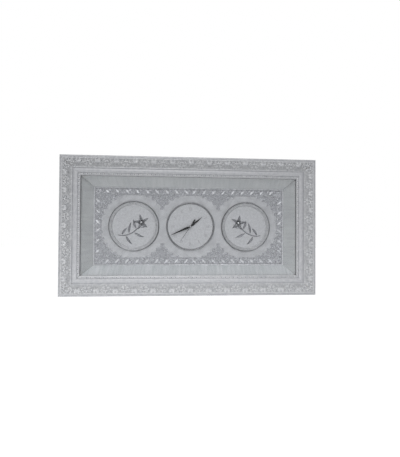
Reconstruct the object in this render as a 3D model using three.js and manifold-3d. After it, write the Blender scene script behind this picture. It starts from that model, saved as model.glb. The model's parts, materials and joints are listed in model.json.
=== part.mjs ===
// A long wall clock in a deep mitred frame: a dial between two medallions on an openwork panel behind glass.
// Millimetres. Built as seen from the front: x to the right, y up, z from the wall to the viewer.
// The last lines turn it so that z is up and the front faces -Y.
import * as THREE from "three";
import { mergeVertices } from "three/addons/utils/BufferGeometryUtils.js";
import Module from "manifold-3d";

const wasm = await Module();
wasm.setup();

// Frame
const frameWidth = 870;
const frameHeight = 470;
const mouldingWidth = 68;
const mouldingDepth = 77;
const sightRecess = 13;
const lipDepth = 4;
const rebateWidth = 7;
const mitreGap = 0.15;
const backInset = 13.6;

// Stack behind the lip
const glassThickness = 2;
const panelThickness = 3;
const boardThickness = 3;
const boardPlay = 1;
const spacerWidth = 8;
const spacerDepth = 16.5;
const linerWidth = 29.5;
const linerThickness = 3;
const linerLap = 1;

// Openwork panel
const laceThickness = 2.5;
const lacePlay = 0.5;
const laceBorder = 26.5;
const fieldHeightShare = 0.4104;
const fieldWidthShare = 0.16675;
const laceBar = 2;
const leafPitch = 17.5;
const leafWidth = 9;
const leafLength = 21;
const fanPitch = 14;
const fanRow = 9.2;

// Medallions and dial
const discThickness = 2;
const discLap = 3.5;
const discPlay = 0.3;
const medallionShare = 0.783;
const medallionRim = 11;
const medallionDepth = 7;
const dialShare = 0.765;
const dialRim = 6.5;
const dialRingDepth = 6;
const sprayThickness = 2.4;
const sprayStroke = 4.4;
const sprayShare = 1.34;

// Hands
const hourShare = 0.616;
const minuteShare = 0.895;
const secondShare = 0.744;
const secondTailShare = 0.35;
const swordWidth = 7.6;
const secondWidth = 1.6;
const tailWidth = 5;
const handThickness = 0.5;
const handPlay = 0.1;
const hourAngle = 51;
const minuteAngle = 246;
const secondAngle = 214;

// Movement case
const caseWall = 1.2;
const caseFrontWall = 1;
const caseCorner = 3;
const gasketThickness = 1;
const gasketRadius = 9;
const bushRadius = 4;
const bushPlay = 0.2;
const nutHeight = 2.5;
const nutWidth = 11;
const bushProud = 3;
const windowPlay = 5;
const casePlay = 0.5;
const contactRoom = 1.55;
const rotorPlay = 0.45;

// Arbors, from the middle outwards
const pivotRadius = 0.35;
const secondArborRadius = 0.5;
const minuteArborRadius = 1.3;
const hourPipeRadius = 2.6;
const tubePlay = 0.15;
const pivotPlay = 0.1;
const pivotDepth = 0.6;
const pipeStep = 2.5;
const bossRadius = 1.3;

// Gears
const wheelThickness = 0.8;
const pinionThickness = 1.4;
const firstLayer = 1;
const layerPitch = 1.8;
const plateThickness = 1;
const plateLayer = 1.4;
const trainModule = 0.4;
const stepModule = 0.4;
const motionCentres = 11;
const cannonTeeth = 8;
const motionTeeth = 24;
const motionPinionTeeth = 6;
const hourTeeth = 24;
const knobTeeth = 8;
const centreTeeth = 45;
const thirdPinionTeeth = 6;
const thirdTeeth = 48;
const secondPinionTeeth = 6;
const secondTeeth = 36;
const stepPinionTeeth = 6;
const stepTeeth = 30;
const rotorTeeth = 6;
const thirdDirection = 100;
const stepDirection = 30;
const rotorDirection = 60;
const motionDirection = 180;
const knobDirection = 150;

// Motor and circuit
const magnetRadius = 2.8;
const magnetHeight = 1.5;
const magnetPlay = 0.6;
const statorThickness = 1;
const statorBar = 7;
const statorLeg = 4;
const coilLength = 18;
const coilRadius = 3;
const coilFlange = 1;
const coilRise = 12.4;
const circuitWidth = 14;
const circuitHeight = 14;
const circuitThickness = 1;
const crystalRadius = 1;
const crystalLength = 6;
const knobRadius = 4.5;
const knobHeight = 1.8;
const knobArborRadius = 1;

// Cell
const cellRadius = 7.1;
const cellLength = 50.5;
const cellNub = 1.5;
const cellNubRadius = 2.7;
const cellPlay = 0.5;
const contactThickness = 0.4;
const contactWidth = 8;

// Back hardware
const bumperDepth = 4;
const bumperRadius = 6;
const buttonLength = 26;
const buttonWidth = 10;
const buttonThickness = 1.3;
const buttonFromEnd = 215;
const screwRadius = 1.6;
const screwHeadRadius = 3.2;
const screwHeadHeight = 1.1;
const screwDepth = 10;
const screwPlay = 0.15;
const hangerFromEnd = 135;
const hangerThickness = 0.7;
const hangerWidth = 11;
const hangerLength = 19;
const ringWireRadius = 1;
const ringWidth = 22;
const ringHeight = 18;
const hardwarePlay = 0.1;

// How round things are cut, and how far a cutting tool runs past the piece it cuts
const fineSegments = 36;
const coarseSegments = 16;
const smallSegments = 8;
const curveSteps = 3;
const cornerSteps = 2;
const arcSteps = 4;
const leafSteps = 3;
const overrun = 0.5;

// Levels from the wall towards the viewer
const backLevel = bumperDepth;
const ridgeLevel = backLevel + mouldingDepth;
const sightLevel = ridgeLevel - sightRecess;
const lipLevel = sightLevel - lipDepth;
const glassLevel = lipLevel - glassThickness;
const boardFace = backLevel + boardThickness;
const panelBack = boardFace + spacerDepth;
const panelFace = panelBack + panelThickness;
const boxDepth = glassLevel - panelFace;
const laceFace = panelFace + laceThickness;
const discFace = panelFace + discThickness;
const caseFront = panelBack - gasketThickness;
const innerFront = caseFront - caseFrontWall;
const nutBack = discFace;
const bushFront = discFace + bushProud;
const pipeFront = bushFront + pipeStep;
const minuteFront = pipeFront + pipeStep;
const secondFront = minuteFront + pipeStep;

// Widths and heights shared by the boards
const mouldingInner = mouldingWidth - rebateWidth;
const boardWidth = frameWidth - 2 * mouldingInner - 2 * boardPlay;
const boardHeight = frameHeight - 2 * mouldingInner - 2 * boardPlay;
const openingWidth = frameWidth - 2 * mouldingWidth - 2 * linerWidth;
const openingHeight = frameHeight - 2 * mouldingWidth - 2 * linerWidth;
const laceWidth = openingWidth - 2 * lacePlay;
const laceHeight = openingHeight - 2 * lacePlay;

// The three round fields are as large as the openwork's height and width both allow.
const laceRing = Math.min(fieldHeightShare * laceHeight, fieldWidthShare * laceWidth);
const discSpacing = laceWidth / 2 - laceBorder - laceRing;
const medallionRadius = medallionShare * laceRing;
const dialRadius = dialShare * laceRing;
const sprayWidth = sprayShare * medallionRadius;
const hourReach = hourShare * dialRadius;
const minuteReach = minuteShare * dialRadius;
const secondReach = secondShare * dialRadius;
const secondTail = secondTailShare * dialRadius;

const finishes = {
  pearl: finish(0xdcdddf, 0.35, 0.15),
  liner: finish(0xd5d9db, 0.2, 0),
  glass: finish(0xeef4f4, 0.03, 0),
  board: finish(0xc9cacc, 0.6, 0),
  lace: finish(0xb9bbbe, 0.35, 0.5),
  disc: finish(0xc4c5c9, 0.4, 0.2),
  silver: finish(0x8c8d91, 0.2, 0.95),
  black: finish(0x1b1c1f, 0.35, 0.2),
  movement: finish(0x232427, 0.55, 0),
  train: finish(0xe6e3d8, 0.4, 0),
  brass: finish(0xb99a4f, 0.3, 0.9),
  steel: finish(0x9b9da0, 0.3, 0.9),
  copper: finish(0xa8623a, 0.4, 0.6),
  circuit: finish(0x2e6b46, 0.5, 0),
  cell: finish(0x3f5a86, 0.3, 0.4),
  fibreboard: finish(0x8a6b4a, 0.8, 0),
  pine: finish(0xc8a878, 0.7, 0),
  rubber: finish(0x2b2b2b, 0.9, 0),
};

function finish(color, roughness, metalness) {
  return new THREE.MeshStandardMaterial({ color, roughness, metalness });
}

function radians(degrees) {
  return (degrees * Math.PI) / 180;
}

// The point at a distance and a direction in degrees, from the right and counterclockwise.
function polar(distance, direction, centre = [0, 0]) {
  const angle = radians(direction);
  return [centre[0] + distance * Math.cos(angle), centre[1] + distance * Math.sin(angle)];
}

// A closed geometry as a solid that can be cut and joined.
function solid(geometry) {
  const bare = geometry.index ? geometry.toNonIndexed() : geometry.clone();
  bare.deleteAttribute("normal");
  bare.deleteAttribute("uv");
  const merged = mergeVertices(bare);
  const mesh = new wasm.Mesh({
    numProp: 3,
    vertProperties: merged.attributes.position.array,
    triVerts: new Uint32Array(merged.index.array),
  });
  return new wasm.Manifold(mesh);
}

// A solid as a geometry again, with flat faces.
function geometryOf(body) {
  const mesh = body.getMesh();
  const geometry = new THREE.BufferGeometry();
  geometry.setAttribute("position", new THREE.BufferAttribute(mesh.vertProperties, mesh.numProp));
  geometry.setIndex(new THREE.BufferAttribute(mesh.triVerts, 1));
  const flat = geometry.toNonIndexed();
  flat.computeVertexNormals();
  return flat;
}

function join(first, ...others) {
  return others.reduce((body, other) => body.add(solid(other)), solid(first));
}

function cut(body, ...tools) {
  return tools.reduce((rest, tool) => rest.subtract(solid(tool)), body);
}

// A flat outline, or several, given thickness between two levels.
function slab(shapes, back, front, curveSegments = curveSteps) {
  const options = { depth: front - back, bevelEnabled: false, curveSegments };
  const geometry = new THREE.ExtrudeGeometry(shapes, options);
  geometry.translate(0, 0, back);
  return geometry;
}

function outline(points) {
  return new THREE.Shape(points.map(([x, y]) => new THREE.Vector2(x, y)));
}

function rectangle(width, height, centre = [0, 0]) {
  const [x, y] = centre;
  return outline([
    [x - width / 2, y - height / 2],
    [x + width / 2, y - height / 2],
    [x + width / 2, y + height / 2],
    [x - width / 2, y + height / 2],
  ]);
}

function circlePoints(radius, segments, centre = [0, 0], start = 0) {
  return Array.from({ length: segments }, (_, i) => polar(radius, start + (360 * i) / segments, centre));
}

function circle(radius, segments, centre) {
  return outline(circlePoints(radius, segments, centre));
}

function rod(radius, back, front, centre, segments = smallSegments) {
  return slab(circle(radius, segments, centre), back, front);
}

function withHole(shape, radius, segments, centre) {
  shape.holes.push(new THREE.Path(circle(radius, segments, centre).getPoints()));
  return shape;
}

// A rectangle with rounded corners.
function roundedRectangle(width, height, radius, centre) {
  const shape = new THREE.Shape();
  const x = width / 2 - radius;
  const y = height / 2 - radius;
  const corners = [
    [x, -y, -90],
    [x, y, 0],
    [-x, y, 90],
    [-x, -y, 180],
  ];
  corners.forEach(([cx, cy, from]) => {
    shape.absarc(centre[0] + cx, centre[1] + cy, radius, radians(from), radians(from + 90), false);
  });
  return shape;
}

// A pointed leaf along its own direction, with the same bow on both sides.
function leaf(centre, length, width, direction, steps = 2) {
  const points = [];
  for (let i = 0; i < 2 * steps; i += 1) {
    const along = -Math.cos((Math.PI * i) / steps);
    const side = i < steps ? -1 : 1;
    const across = (side * (1 - along * along)) / 2;
    const tip = polar((along * length) / 2, direction, centre);
    points.push(polar(across * width, direction + 90, tip));
  }
  return outline(points);
}

// A profile of radius and level pairs turned about the clock's axis direction.
function turned(profile, segments) {
  const points = profile.map(([radius, level]) => new THREE.Vector2(radius, level));
  const geometry = new THREE.LatheGeometry(points, segments);
  geometry.rotateX(Math.PI / 2);
  return geometry;
}

function mesh(name, form, material, place = [0, 0]) {
  const piece = new THREE.Mesh(form.isBufferGeometry ? form : geometryOf(form), material);
  piece.name = name;
  piece.position.set(place[0], place[1], 0);
  return piece;
}

// Each stretch is a straight line between two points or a curve pulled by a middle one.
function curvedPoints(stretches, place) {
  return stretches.flatMap((stretch, i) => {
    const points = stretch.map((share) => new THREE.Vector2(...place(share)));
    const bowed = points.length === 3;
    const curve = bowed ? new THREE.QuadraticBezierCurve(...points) : new THREE.LineCurve(...points);
    const count = bowed ? curveSteps : 1;
    const all = curve.getPoints(count).map((p) => [p.x, p.y]);
    return i === 0 ? all : all.slice(1);
  });
}

// The frame's section, as distance in from the outer edge and level.
function mouldingSection() {
  const sideShares = [
    [[0.2, 0], [0.2, 0.45]],
    [[0.2, 0.45], [0.2, 0.68], [0.03, 0.74]],
    [[0.03, 0.74], [0, 0.76]],
  ];
  const faceShares = [
    [[0, 0.62], [0, 0.38], [0.08, 0.35]],
    [[0.08, 0.35], [0.12, 0], [0.18, 0]],
    [[0.18, 0], [0.24, 0.02], [0.26, 0.22]],
    [[0.26, 0.22], [0.36, 0.2], [0.43, 0.45]],
    [[0.43, 0.45], [0.5, 0.72], [0.57, 0.85]],
    [[0.57, 0.85], [0.575, 0.72]],
    [[0.575, 0.72], [0.605, 0.72]],
    [[0.605, 0.72], [0.61, 0.86]],
    [[0.61, 0.86], [0.73, 0.42], [0.85, 0.8]],
    [[0.85, 0.8], [0.86, 0.98]],
    [[0.86, 0.98], [0.9, 0.76], [0.94, 0.98]],
    [[0.94, 0.98], [0.95, 0.88]],
    [[0.95, 0.88], [1, 1]],
  ];
  const sideWidth = backInset / sideShares[0][0][0];
  const side = curvedPoints(sideShares, ([across, up]) => {
    return [across * sideWidth, backLevel + up * mouldingDepth];
  });
  const face = curvedPoints(faceShares, ([across, fall]) => {
    return [across * mouldingWidth, ridgeLevel - fall * sightRecess];
  });
  const rebate = [
    [mouldingWidth, lipLevel],
    [mouldingInner, lipLevel],
    [mouldingInner, backLevel],
  ];
  return [...side, ...face, ...rebate];
}

// The section of a sloping liner board, from the glass down to the panel.
function linerSection() {
  const top = mouldingWidth - linerLap;
  const bottom = mouldingWidth + linerWidth;
  const slope = Math.atan2(boxDepth, bottom - top);
  const cutWidth = linerThickness / Math.sin(slope);
  const backTop = Math.max(top - cutWidth, mouldingInner + boardPlay);
  return [
    [bottom, panelFace],
    [bottom - cutWidth, panelFace],
    [backTop, glassLevel],
    [top, glassLevel],
  ];
}

const sides = [
  { name: "top", long: frameWidth, across: frameHeight, turn: 0 },
  { name: "left", long: frameHeight, across: frameWidth, turn: 90 },
  { name: "bottom", long: frameWidth, across: frameHeight, turn: 180 },
  { name: "right", long: frameHeight, across: frameWidth, turn: 270 },
];

// A section run along one side of the frame, with both ends mitred.
function mitredStrip(section, side) {
  const drawn = section.map(([x, y]) => new THREE.Vector2(x, y));
  const ring = THREE.ShapeUtils.isClockWise(drawn) ? drawn.reverse() : drawn;
  const count = ring.length;
  const positions = [];
  [-1, 1].forEach((end) => {
    ring.forEach(({ x: inset, y: level }) => {
      const along = end * (side.long / 2 - inset - mitreGap);
      positions.push(along, side.across / 2 - inset, level);
    });
  });
  const cap = THREE.ShapeUtils.triangulateShape(ring, []);
  const index = [];
  cap.forEach(([a, b, c]) => {
    index.push(a, b, c);
    index.push(c + count, b + count, a + count);
  });
  for (let i = 0; i < count; i += 1) {
    const next = (i + 1) % count;
    index.push(i, i + count, next);
    index.push(next, i + count, next + count);
  }
  const geometry = new THREE.BufferGeometry();
  geometry.setAttribute("position", new THREE.Float32BufferAttribute(positions, 3));
  geometry.setIndex(index);
  geometry.rotateZ(radians(side.turn));
  return geometry;
}

// Pan-head screw standing out of the frame's back, with its shaft in the wood.
function screw(clamped, centre) {
  const neck = backLevel - clamped;
  const shaft = rod(screwRadius, neck, backLevel + screwDepth, centre);
  const head = rod(screwHeadRadius, neck - screwHeadHeight, neck, centre);
  return join(shaft, head);
}

const hardwareInset = (backInset + mouldingInner) / 2;
const hangerTop = frameHeight / 2 - hardwareInset + hangerLength / 2;
const hangerLoopLevel = backLevel - hangerThickness - hardwarePlay - ringWireRadius;
const hangerBore = ringWireRadius + hardwarePlay;
const hangerScrewHeight = hangerTop - ringHeight / 2 - ringWireRadius;
const buttonClamped = buttonThickness + 2 * hardwarePlay;
const buttonInset = mouldingInner - buttonWidth / 2;

function buttonPlaces() {
  const x = frameWidth / 2 - buttonFromEnd;
  const y = frameHeight / 2 - buttonInset;
  return [
    { name: "top_left", at: [-x, y], down: true },
    { name: "top_right", at: [x, y], down: true },
    { name: "bottom_left", at: [-x, -y], down: false },
    { name: "bottom_right", at: [x, -y], down: false },
  ];
}

function hangerPlaces() {
  const x = frameWidth / 2 - hangerFromEnd;
  return [
    { name: "left", x: -x },
    { name: "right", x },
  ];
}

function frameRails() {
  const section = mouldingSection();
  return sides.map((side) => {
    let rail = solid(mitredStrip(section, side));
    const onThisRail = buttonPlaces().filter(({ down }) => side.name === (down ? "top" : "bottom"));
    onThisRail.forEach(({ at }) => {
      rail = rail.add(screw(buttonClamped, at));
    });
    if (side.name === "top") {
      hangerPlaces().forEach(({ x }) => {
        const end = backLevel + screwDepth + overrun;
        rail = cut(rail, rod(screwRadius + screwPlay, backLevel - overrun, end, [x, hangerScrewHeight]));
      });
    }
    return mesh(`rail_${side.name}`, rail, finishes.pearl);
  });
}

function liners() {
  const section = linerSection();
  return sides.map((side) => mesh(`liner_${side.name}`, mitredStrip(section, side), finishes.liner));
}

function boards() {
  const bushHole = bushRadius + bushPlay;
  const panelShape = withHole(rectangle(boardWidth, boardHeight), bushHole, coarseSegments);
  const window = rectangle(2 * (caseHalf + windowPlay), caseHeight + 2 * windowPlay, caseCentre);
  const backShape = rectangle(boardWidth, boardHeight);
  backShape.holes.push(new THREE.Path(window.getPoints()));
  const spacerY = boardHeight / 2 - spacerWidth / 2;
  const spacerX = boardWidth / 2 - spacerWidth / 2;
  const shortSpacer = boardHeight - 2 * spacerWidth - 2 * hardwarePlay;
  const spacers = [
    ["spacer_top", boardWidth, spacerWidth, [0, spacerY]],
    ["spacer_bottom", boardWidth, spacerWidth, [0, -spacerY]],
    ["spacer_left", spacerWidth, shortSpacer, [-spacerX, 0]],
    ["spacer_right", spacerWidth, shortSpacer, [spacerX, 0]],
  ];
  return [
    mesh("front_glass", slab(rectangle(boardWidth, boardHeight), glassLevel, lipLevel), finishes.glass),
    mesh("base_panel", slab(panelShape, panelBack, panelFace), finishes.board),
    mesh("back_board", slab(backShape, backLevel, boardFace), finishes.fibreboard),
    ...spacers.map(([name, width, height, centre]) => {
      return mesh(name, slab(rectangle(width, height, centre), boardFace, panelBack), finishes.pine);
    }),
  ];
}

const discCentres = [
  [-discSpacing, 0],
  [0, 0],
  [discSpacing, 0],
];

// Pointed openings in slanting pairs, like a running leaf, along the border strips and across the corners.
function borderLeaves() {
  const lean = 45;
  const strips = [
    { long: laceWidth, half: laceHeight / 2, turn: 0 },
    { long: laceHeight, half: laceWidth / 2, turn: 90 },
    { long: laceWidth, half: laceHeight / 2, turn: 180 },
    { long: laceHeight, half: laceWidth / 2, turn: 270 },
  ];
  return strips.flatMap(({ long, half, turn }) => {
    const run = long - 2 * laceBorder;
    const count = 2 * Math.max(1, Math.round(run / leafPitch / 2));
    const middle = polar(half - laceBorder / 2, turn + 90);
    const pairs = Array.from({ length: count }, (_, i) => {
      const centre = polar(((i + 0.5) / count - 0.5) * run, turn, middle);
      return leaf(centre, leafLength, leafWidth, turn + (i % 2 === 0 ? lean : -lean));
    });
    const corner = polar((run + laceBorder) / 2, turn, middle);
    return [...pairs, leaf(corner, leafLength, leafWidth, turn + lean)];
  });
}

// A lattice of pointed openings that fans out round each round field, kept inside the spandrels.
function fanLeaves() {
  const top = laceHeight / 2 - laceBorder;
  const side = laceWidth / 2 - laceBorder;
  const count = 4 * Math.round((Math.PI * laceRing) / (2 * fanPitch));
  const rows = Math.ceil((Math.hypot(top, side - discSpacing) - laceRing) / fanRow);
  const places = discCentres.flatMap((centre) => {
    return Array.from({ length: rows * count }, (_, i) => {
      const row = 1 + Math.floor(i / count);
      const direction = (360 * (i + (row % 2) / 2)) / count;
      return { centre, radius: laceRing + laceBar + row * fanRow, direction };
    });
  });
  return places.flatMap(({ centre, radius, direction }) => {
    const pitch = (2 * Math.PI * radius) / count;
    const openShare = 1 - (laceBar * Math.hypot(pitch / 2, fanRow)) / (pitch * fanRow);
    const width = openShare * pitch;
    const length = 2 * openShare * fanRow;
    const [x, y] = polar(radius, direction, centre);
    const [alongX, alongY] = polar(length / 2, direction).map(Math.abs);
    const [acrossX, acrossY] = polar(width / 2, direction + 90).map(Math.abs);
    const reachX = Math.max(alongX, acrossX);
    const reachY = Math.max(alongY, acrossY);
    const inside = Math.abs(x) + reachX < side && Math.abs(y) + reachY < top;
    const seam = Math.abs(Math.abs(x) - discSpacing / 2);
    const outer = centre[0] !== 0;
    const own = outer ? x * centre[0] > 0 && Math.abs(x) > discSpacing / 2 : Math.abs(x) < discSpacing / 2;
    return inside && own && seam > reachX + laceBar / 2 ? [leaf([x, y], length, width, direction)] : [];
  });
}

function lacePanel() {
  const back = panelFace - overrun;
  const front = laceFace + overrun;
  const sheet = solid(slab(rectangle(laceWidth, laceHeight), panelFace, laceFace));
  const rings = discCentres.map((centre) => rod(laceRing, back, front, centre, fineSegments));
  const openings = slab([...borderLeaves(), ...fanLeaves()], back, front);
  return mesh("lace_panel", cut(sheet, ...rings, openings), finishes.lace);
}

// A rim whose recess at the back takes the edge of its disc.
function rimProfile(radius, rim, depth) {
  const rimShares = [
    [1, 0.6],
    [0.86, 0.97],
    [0.56, 0.84],
    [0, 0.62],
  ];
  const inner = radius - rim;
  const recess = inner + discLap + discPlay;
  const face = rimShares.map(([across, up]) => [inner + across * rim, panelFace + up * depth]);
  const seat = discFace + discPlay;
  const start = [recess, panelFace];
  return [start, [radius, panelFace], ...face, [inner, seat], [recess, seat], start];
}

function medallions() {
  return [
    { name: "left", x: -discSpacing, mirror: 1 },
    { name: "right", x: discSpacing, mirror: -1 },
  ].flatMap(({ name, x, mirror }) => {
    const discRadius = medallionRadius - medallionRim + discLap;
    const disc = rod(discRadius, panelFace, discFace, [0, 0], fineSegments);
    const rim = turned(rimProfile(medallionRadius, medallionRim, medallionDepth), fineSegments);
    return [
      mesh(`medallion_disc_${name}`, disc, finishes.disc, [x, 0]),
      mesh(`medallion_ring_${name}`, rim, finishes.silver, [x, 0]),
      mesh(`flower_spray_${name}`, flowerSpray(mirror), finishes.silver, [x, 0]),
    ];
  });
}

// A raised spray: a bowed stem, leaves in pairs along it and a bloom of five petals at its end.
function flowerSpray(mirror) {
  const stemShares = [
    [-0.46, -0.26],
    [-0.2, -0.34],
    [0.1, -0.16],
    [0.22, 0.12],
  ];
  const leafShares = [
    [0.12, 60, 0.22],
    [0.27, -66, 0.25],
    [0.4, 60, 0.28],
    [0.58, -62, 0.27],
    [0.72, 64, 0.23],
  ];
  const stemWidthShare = 0.8;
  const petalCount = 5;
  const petalTurn = 12;
  const petalShare = 0.17;
  const petalWidthShare = 0.11;
  const budShare = 0.045;
  const back = discFace;
  const front = discFace + sprayThickness;
  const place = ([x, y]) => [mirror * x * sprayWidth, y * sprayWidth];
  const stem = new THREE.CubicBezierCurve(...stemShares.map((share) => new THREE.Vector2(...place(share))));
  const pieces = [slab(ribbon(stem, smallSegments, stemWidthShare * sprayStroke), back, front)];
  leafShares.forEach(([at, swing, lengthShare]) => {
    const root = stem.getPoint(at);
    const heading = THREE.MathUtils.radToDeg(stem.getTangent(at).angle());
    const direction = heading + mirror * swing;
    const length = lengthShare * sprayWidth;
    const centre = polar(length / 2 - sprayStroke / 2, direction, [root.x, root.y]);
    pieces.push(slab(leaf(centre, length, 2 * sprayStroke, direction, leafSteps), back, front));
  });
  const bloom = place(stemShares[3]);
  for (let i = 0; i < petalCount; i += 1) {
    const direction = 90 + mirror * (petalTurn + (360 * i) / petalCount);
    const length = petalShare * sprayWidth;
    const centre = polar(length / 2, direction, bloom);
    pieces.push(slab(leaf(centre, length, petalWidthShare * sprayWidth, direction, leafSteps), back, front));
  }
  pieces.push(rod(budShare * sprayWidth, back, front + sprayThickness / 2, bloom, smallSegments));
  return join(...pieces);
}

// A band of one width along a curve.
function ribbon(curve, steps, width) {
  const edge = (i, side) => {
    const point = curve.getPoint(i / steps);
    const normal = THREE.MathUtils.radToDeg(curve.getTangent(i / steps).angle()) + 90;
    return polar((side * width) / 2, normal, [point.x, point.y]);
  };
  const forward = Array.from({ length: steps + 1 }, (_, i) => edge(i, -1));
  const backward = Array.from({ length: steps + 1 }, (_, i) => edge(steps - i, 1));
  return outline([...forward, ...backward]);
}

function dial() {
  const discRadius = dialRadius - dialRim + discLap;
  const shape = withHole(circle(discRadius, fineSegments), bushRadius + bushPlay, coarseSegments);
  const ring = turned(rimProfile(dialRadius, dialRim, dialRingDepth), fineSegments);
  return [
    mesh("dial", slab(shape, panelFace, discFace), finishes.disc),
    mesh("dial_ring", ring, finishes.silver),
  ];
}

// A hand pointing up, as pairs of distance along and half width on the right side.
function handShape(points, boreRadius) {
  const left = points.map(([along, half]) => [-half, along]).reverse();
  const right = points.map(([along, half]) => [half, along]);
  return withHole(outline([...right, ...left]), boreRadius, coarseSegments);
}

function swordShape(reach, boreRadius) {
  const hub = boreRadius + 2 * handThickness;
  const swordShares = [
    [0.1, 0.3],
    [0.22, 1],
    [0.62, 0.5],
    [0.97, 0.1],
    [1, 0.03],
  ];
  const blade = swordShares.map(([along, half]) => [along * reach, (half * swordWidth) / 2]);
  return handShape([[-hub, hub / 2], [-hub / 2, hub], [hub / 2, hub], ...blade], boreRadius);
}

function clockwise(geometry, degrees) {
  geometry.rotateZ(-radians(degrees));
  return geometry;
}

function hands() {
  const hour = swordShape(hourReach, hourPipeRadius + handPlay);
  const minute = swordShape(minuteReach, minuteArborRadius + handPlay);
  const secondBore = secondArborRadius + handPlay;
  const half = secondWidth / 2;
  const second = handShape(
    [
      [-secondTail, tailWidth / 2],
      [-secondTail / 2, tailWidth / 2],
      [-secondTail / 2 + half, half],
      [-2 * half, half],
      [-half, 2 * half],
      [half, 2 * half],
      [2 * half, half],
      [secondReach, half / 3],
    ],
    secondBore,
  );
  const hourBack = pipeFront - handThickness - handPlay;
  const minuteBack = minuteFront - handThickness - handPlay;
  const secondBack = secondFront - handThickness - handPlay;
  const hourHand = slab(hour, hourBack, hourBack + handThickness);
  const minuteHand = slab(minute, minuteBack, minuteBack + handThickness);
  const secondHand = slab(second, secondBack, secondBack + handThickness);
  return [
    mesh("hour_hand", clockwise(hourHand, hourAngle), finishes.black),
    mesh("minute_hand", clockwise(minuteHand, minuteAngle), finishes.black),
    mesh("second_hand", clockwise(secondHand, secondAngle), finishes.black),
  ];
}

const addendumShare = 0.8;
const dedendumShare = 1.15;

function gearRadius(teeth, module) {
  return (teeth * module) / 2;
}

function tipRadius(teeth, module) {
  return gearRadius(teeth, module) + addendumShare * module;
}

// A gear with a tooth centred on its phase, in degrees. Wheels have pointed teeth and pinions have leaves.
function gearShape(teeth, module, phase, centre) {
  const rootShare = 0.3;
  const tipShare = 0.1;
  const gapShare = 0.5;
  const mostLeaves = 12;
  const pitch = 360 / teeth;
  const radius = gearRadius(teeth, module);
  const root = radius - dedendumShare * module;
  const tip = tipRadius(teeth, module);
  const pinionLeaf = [
    [root, -rootShare],
    [tip, -tipShare],
    [tip, tipShare],
    [root, rootShare],
  ];
  const wheelTooth = [
    [root, -gapShare],
    [tip, 0],
  ];
  const points = [];
  for (let i = 0; i < teeth; i += 1) {
    (teeth > mostLeaves ? wheelTooth : pinionLeaf).forEach(([r, share]) => {
      points.push(polar(r, phase + (i + share) * pitch, centre));
    });
  }
  return outline(points);
}

// The phase that puts a gear's gap on the other's tooth, seen from the first gear in a direction.
function meshPhase(teeth, phase, otherTeeth, direction) {
  return direction + 180 + (teeth * (direction - phase) - 180) / otherTeeth;
}

function depthLevel(depth) {
  return innerFront - depth;
}

function layerLevel(layer) {
  return depthLevel(firstLayer + layer * layerPitch);
}

const layers = {
  hour: layerLevel(0),
  motion: layerLevel(1),
  centre: layerLevel(2),
  third: layerLevel(3),
  plate: layerLevel(3) - plateLayer,
  second: layerLevel(3) - 2 * plateLayer,
  step: layerLevel(3) - 2 * plateLayer - layerPitch,
};
const magnetFront = layers.step - pinionThickness / 2 - tubePlay;
const magnetBack = magnetFront - magnetHeight;
const statorFront = (magnetFront + magnetBack) / 2 + statorThickness / 2;
const innerRear = magnetBack - rotorPlay;
const caseRear = innerRear - caseWall;

const thirdCentres = gearRadius(thirdTeeth + secondPinionTeeth, trainModule);
const centreModule = (2 * thirdCentres) / (centreTeeth + thirdPinionTeeth);
const motionModule = (2 * motionCentres) / (cannonTeeth + motionTeeth);
const hourModule = (2 * motionCentres) / (motionPinionTeeth + hourTeeth);
const stepCentres = gearRadius(secondTeeth + stepPinionTeeth, stepModule);
const rotorCentres = gearRadius(stepTeeth + rotorTeeth, stepModule);
const knobCentres = gearRadius(motionTeeth + knobTeeth, motionModule);

const thirdAt = polar(thirdCentres, thirdDirection);
const stepAt = polar(stepCentres, stepDirection);
const rotorAt = polar(rotorCentres, rotorDirection, stepAt);
const motionAt = polar(motionCentres, motionDirection);
const knobAt = polar(knobCentres, knobDirection, motionAt);

function wheelDisc(teeth, module, phase, centre, level, thickness) {
  return slab(gearShape(teeth, module, phase, centre), level - thickness / 2, level + thickness / 2);
}

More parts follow.
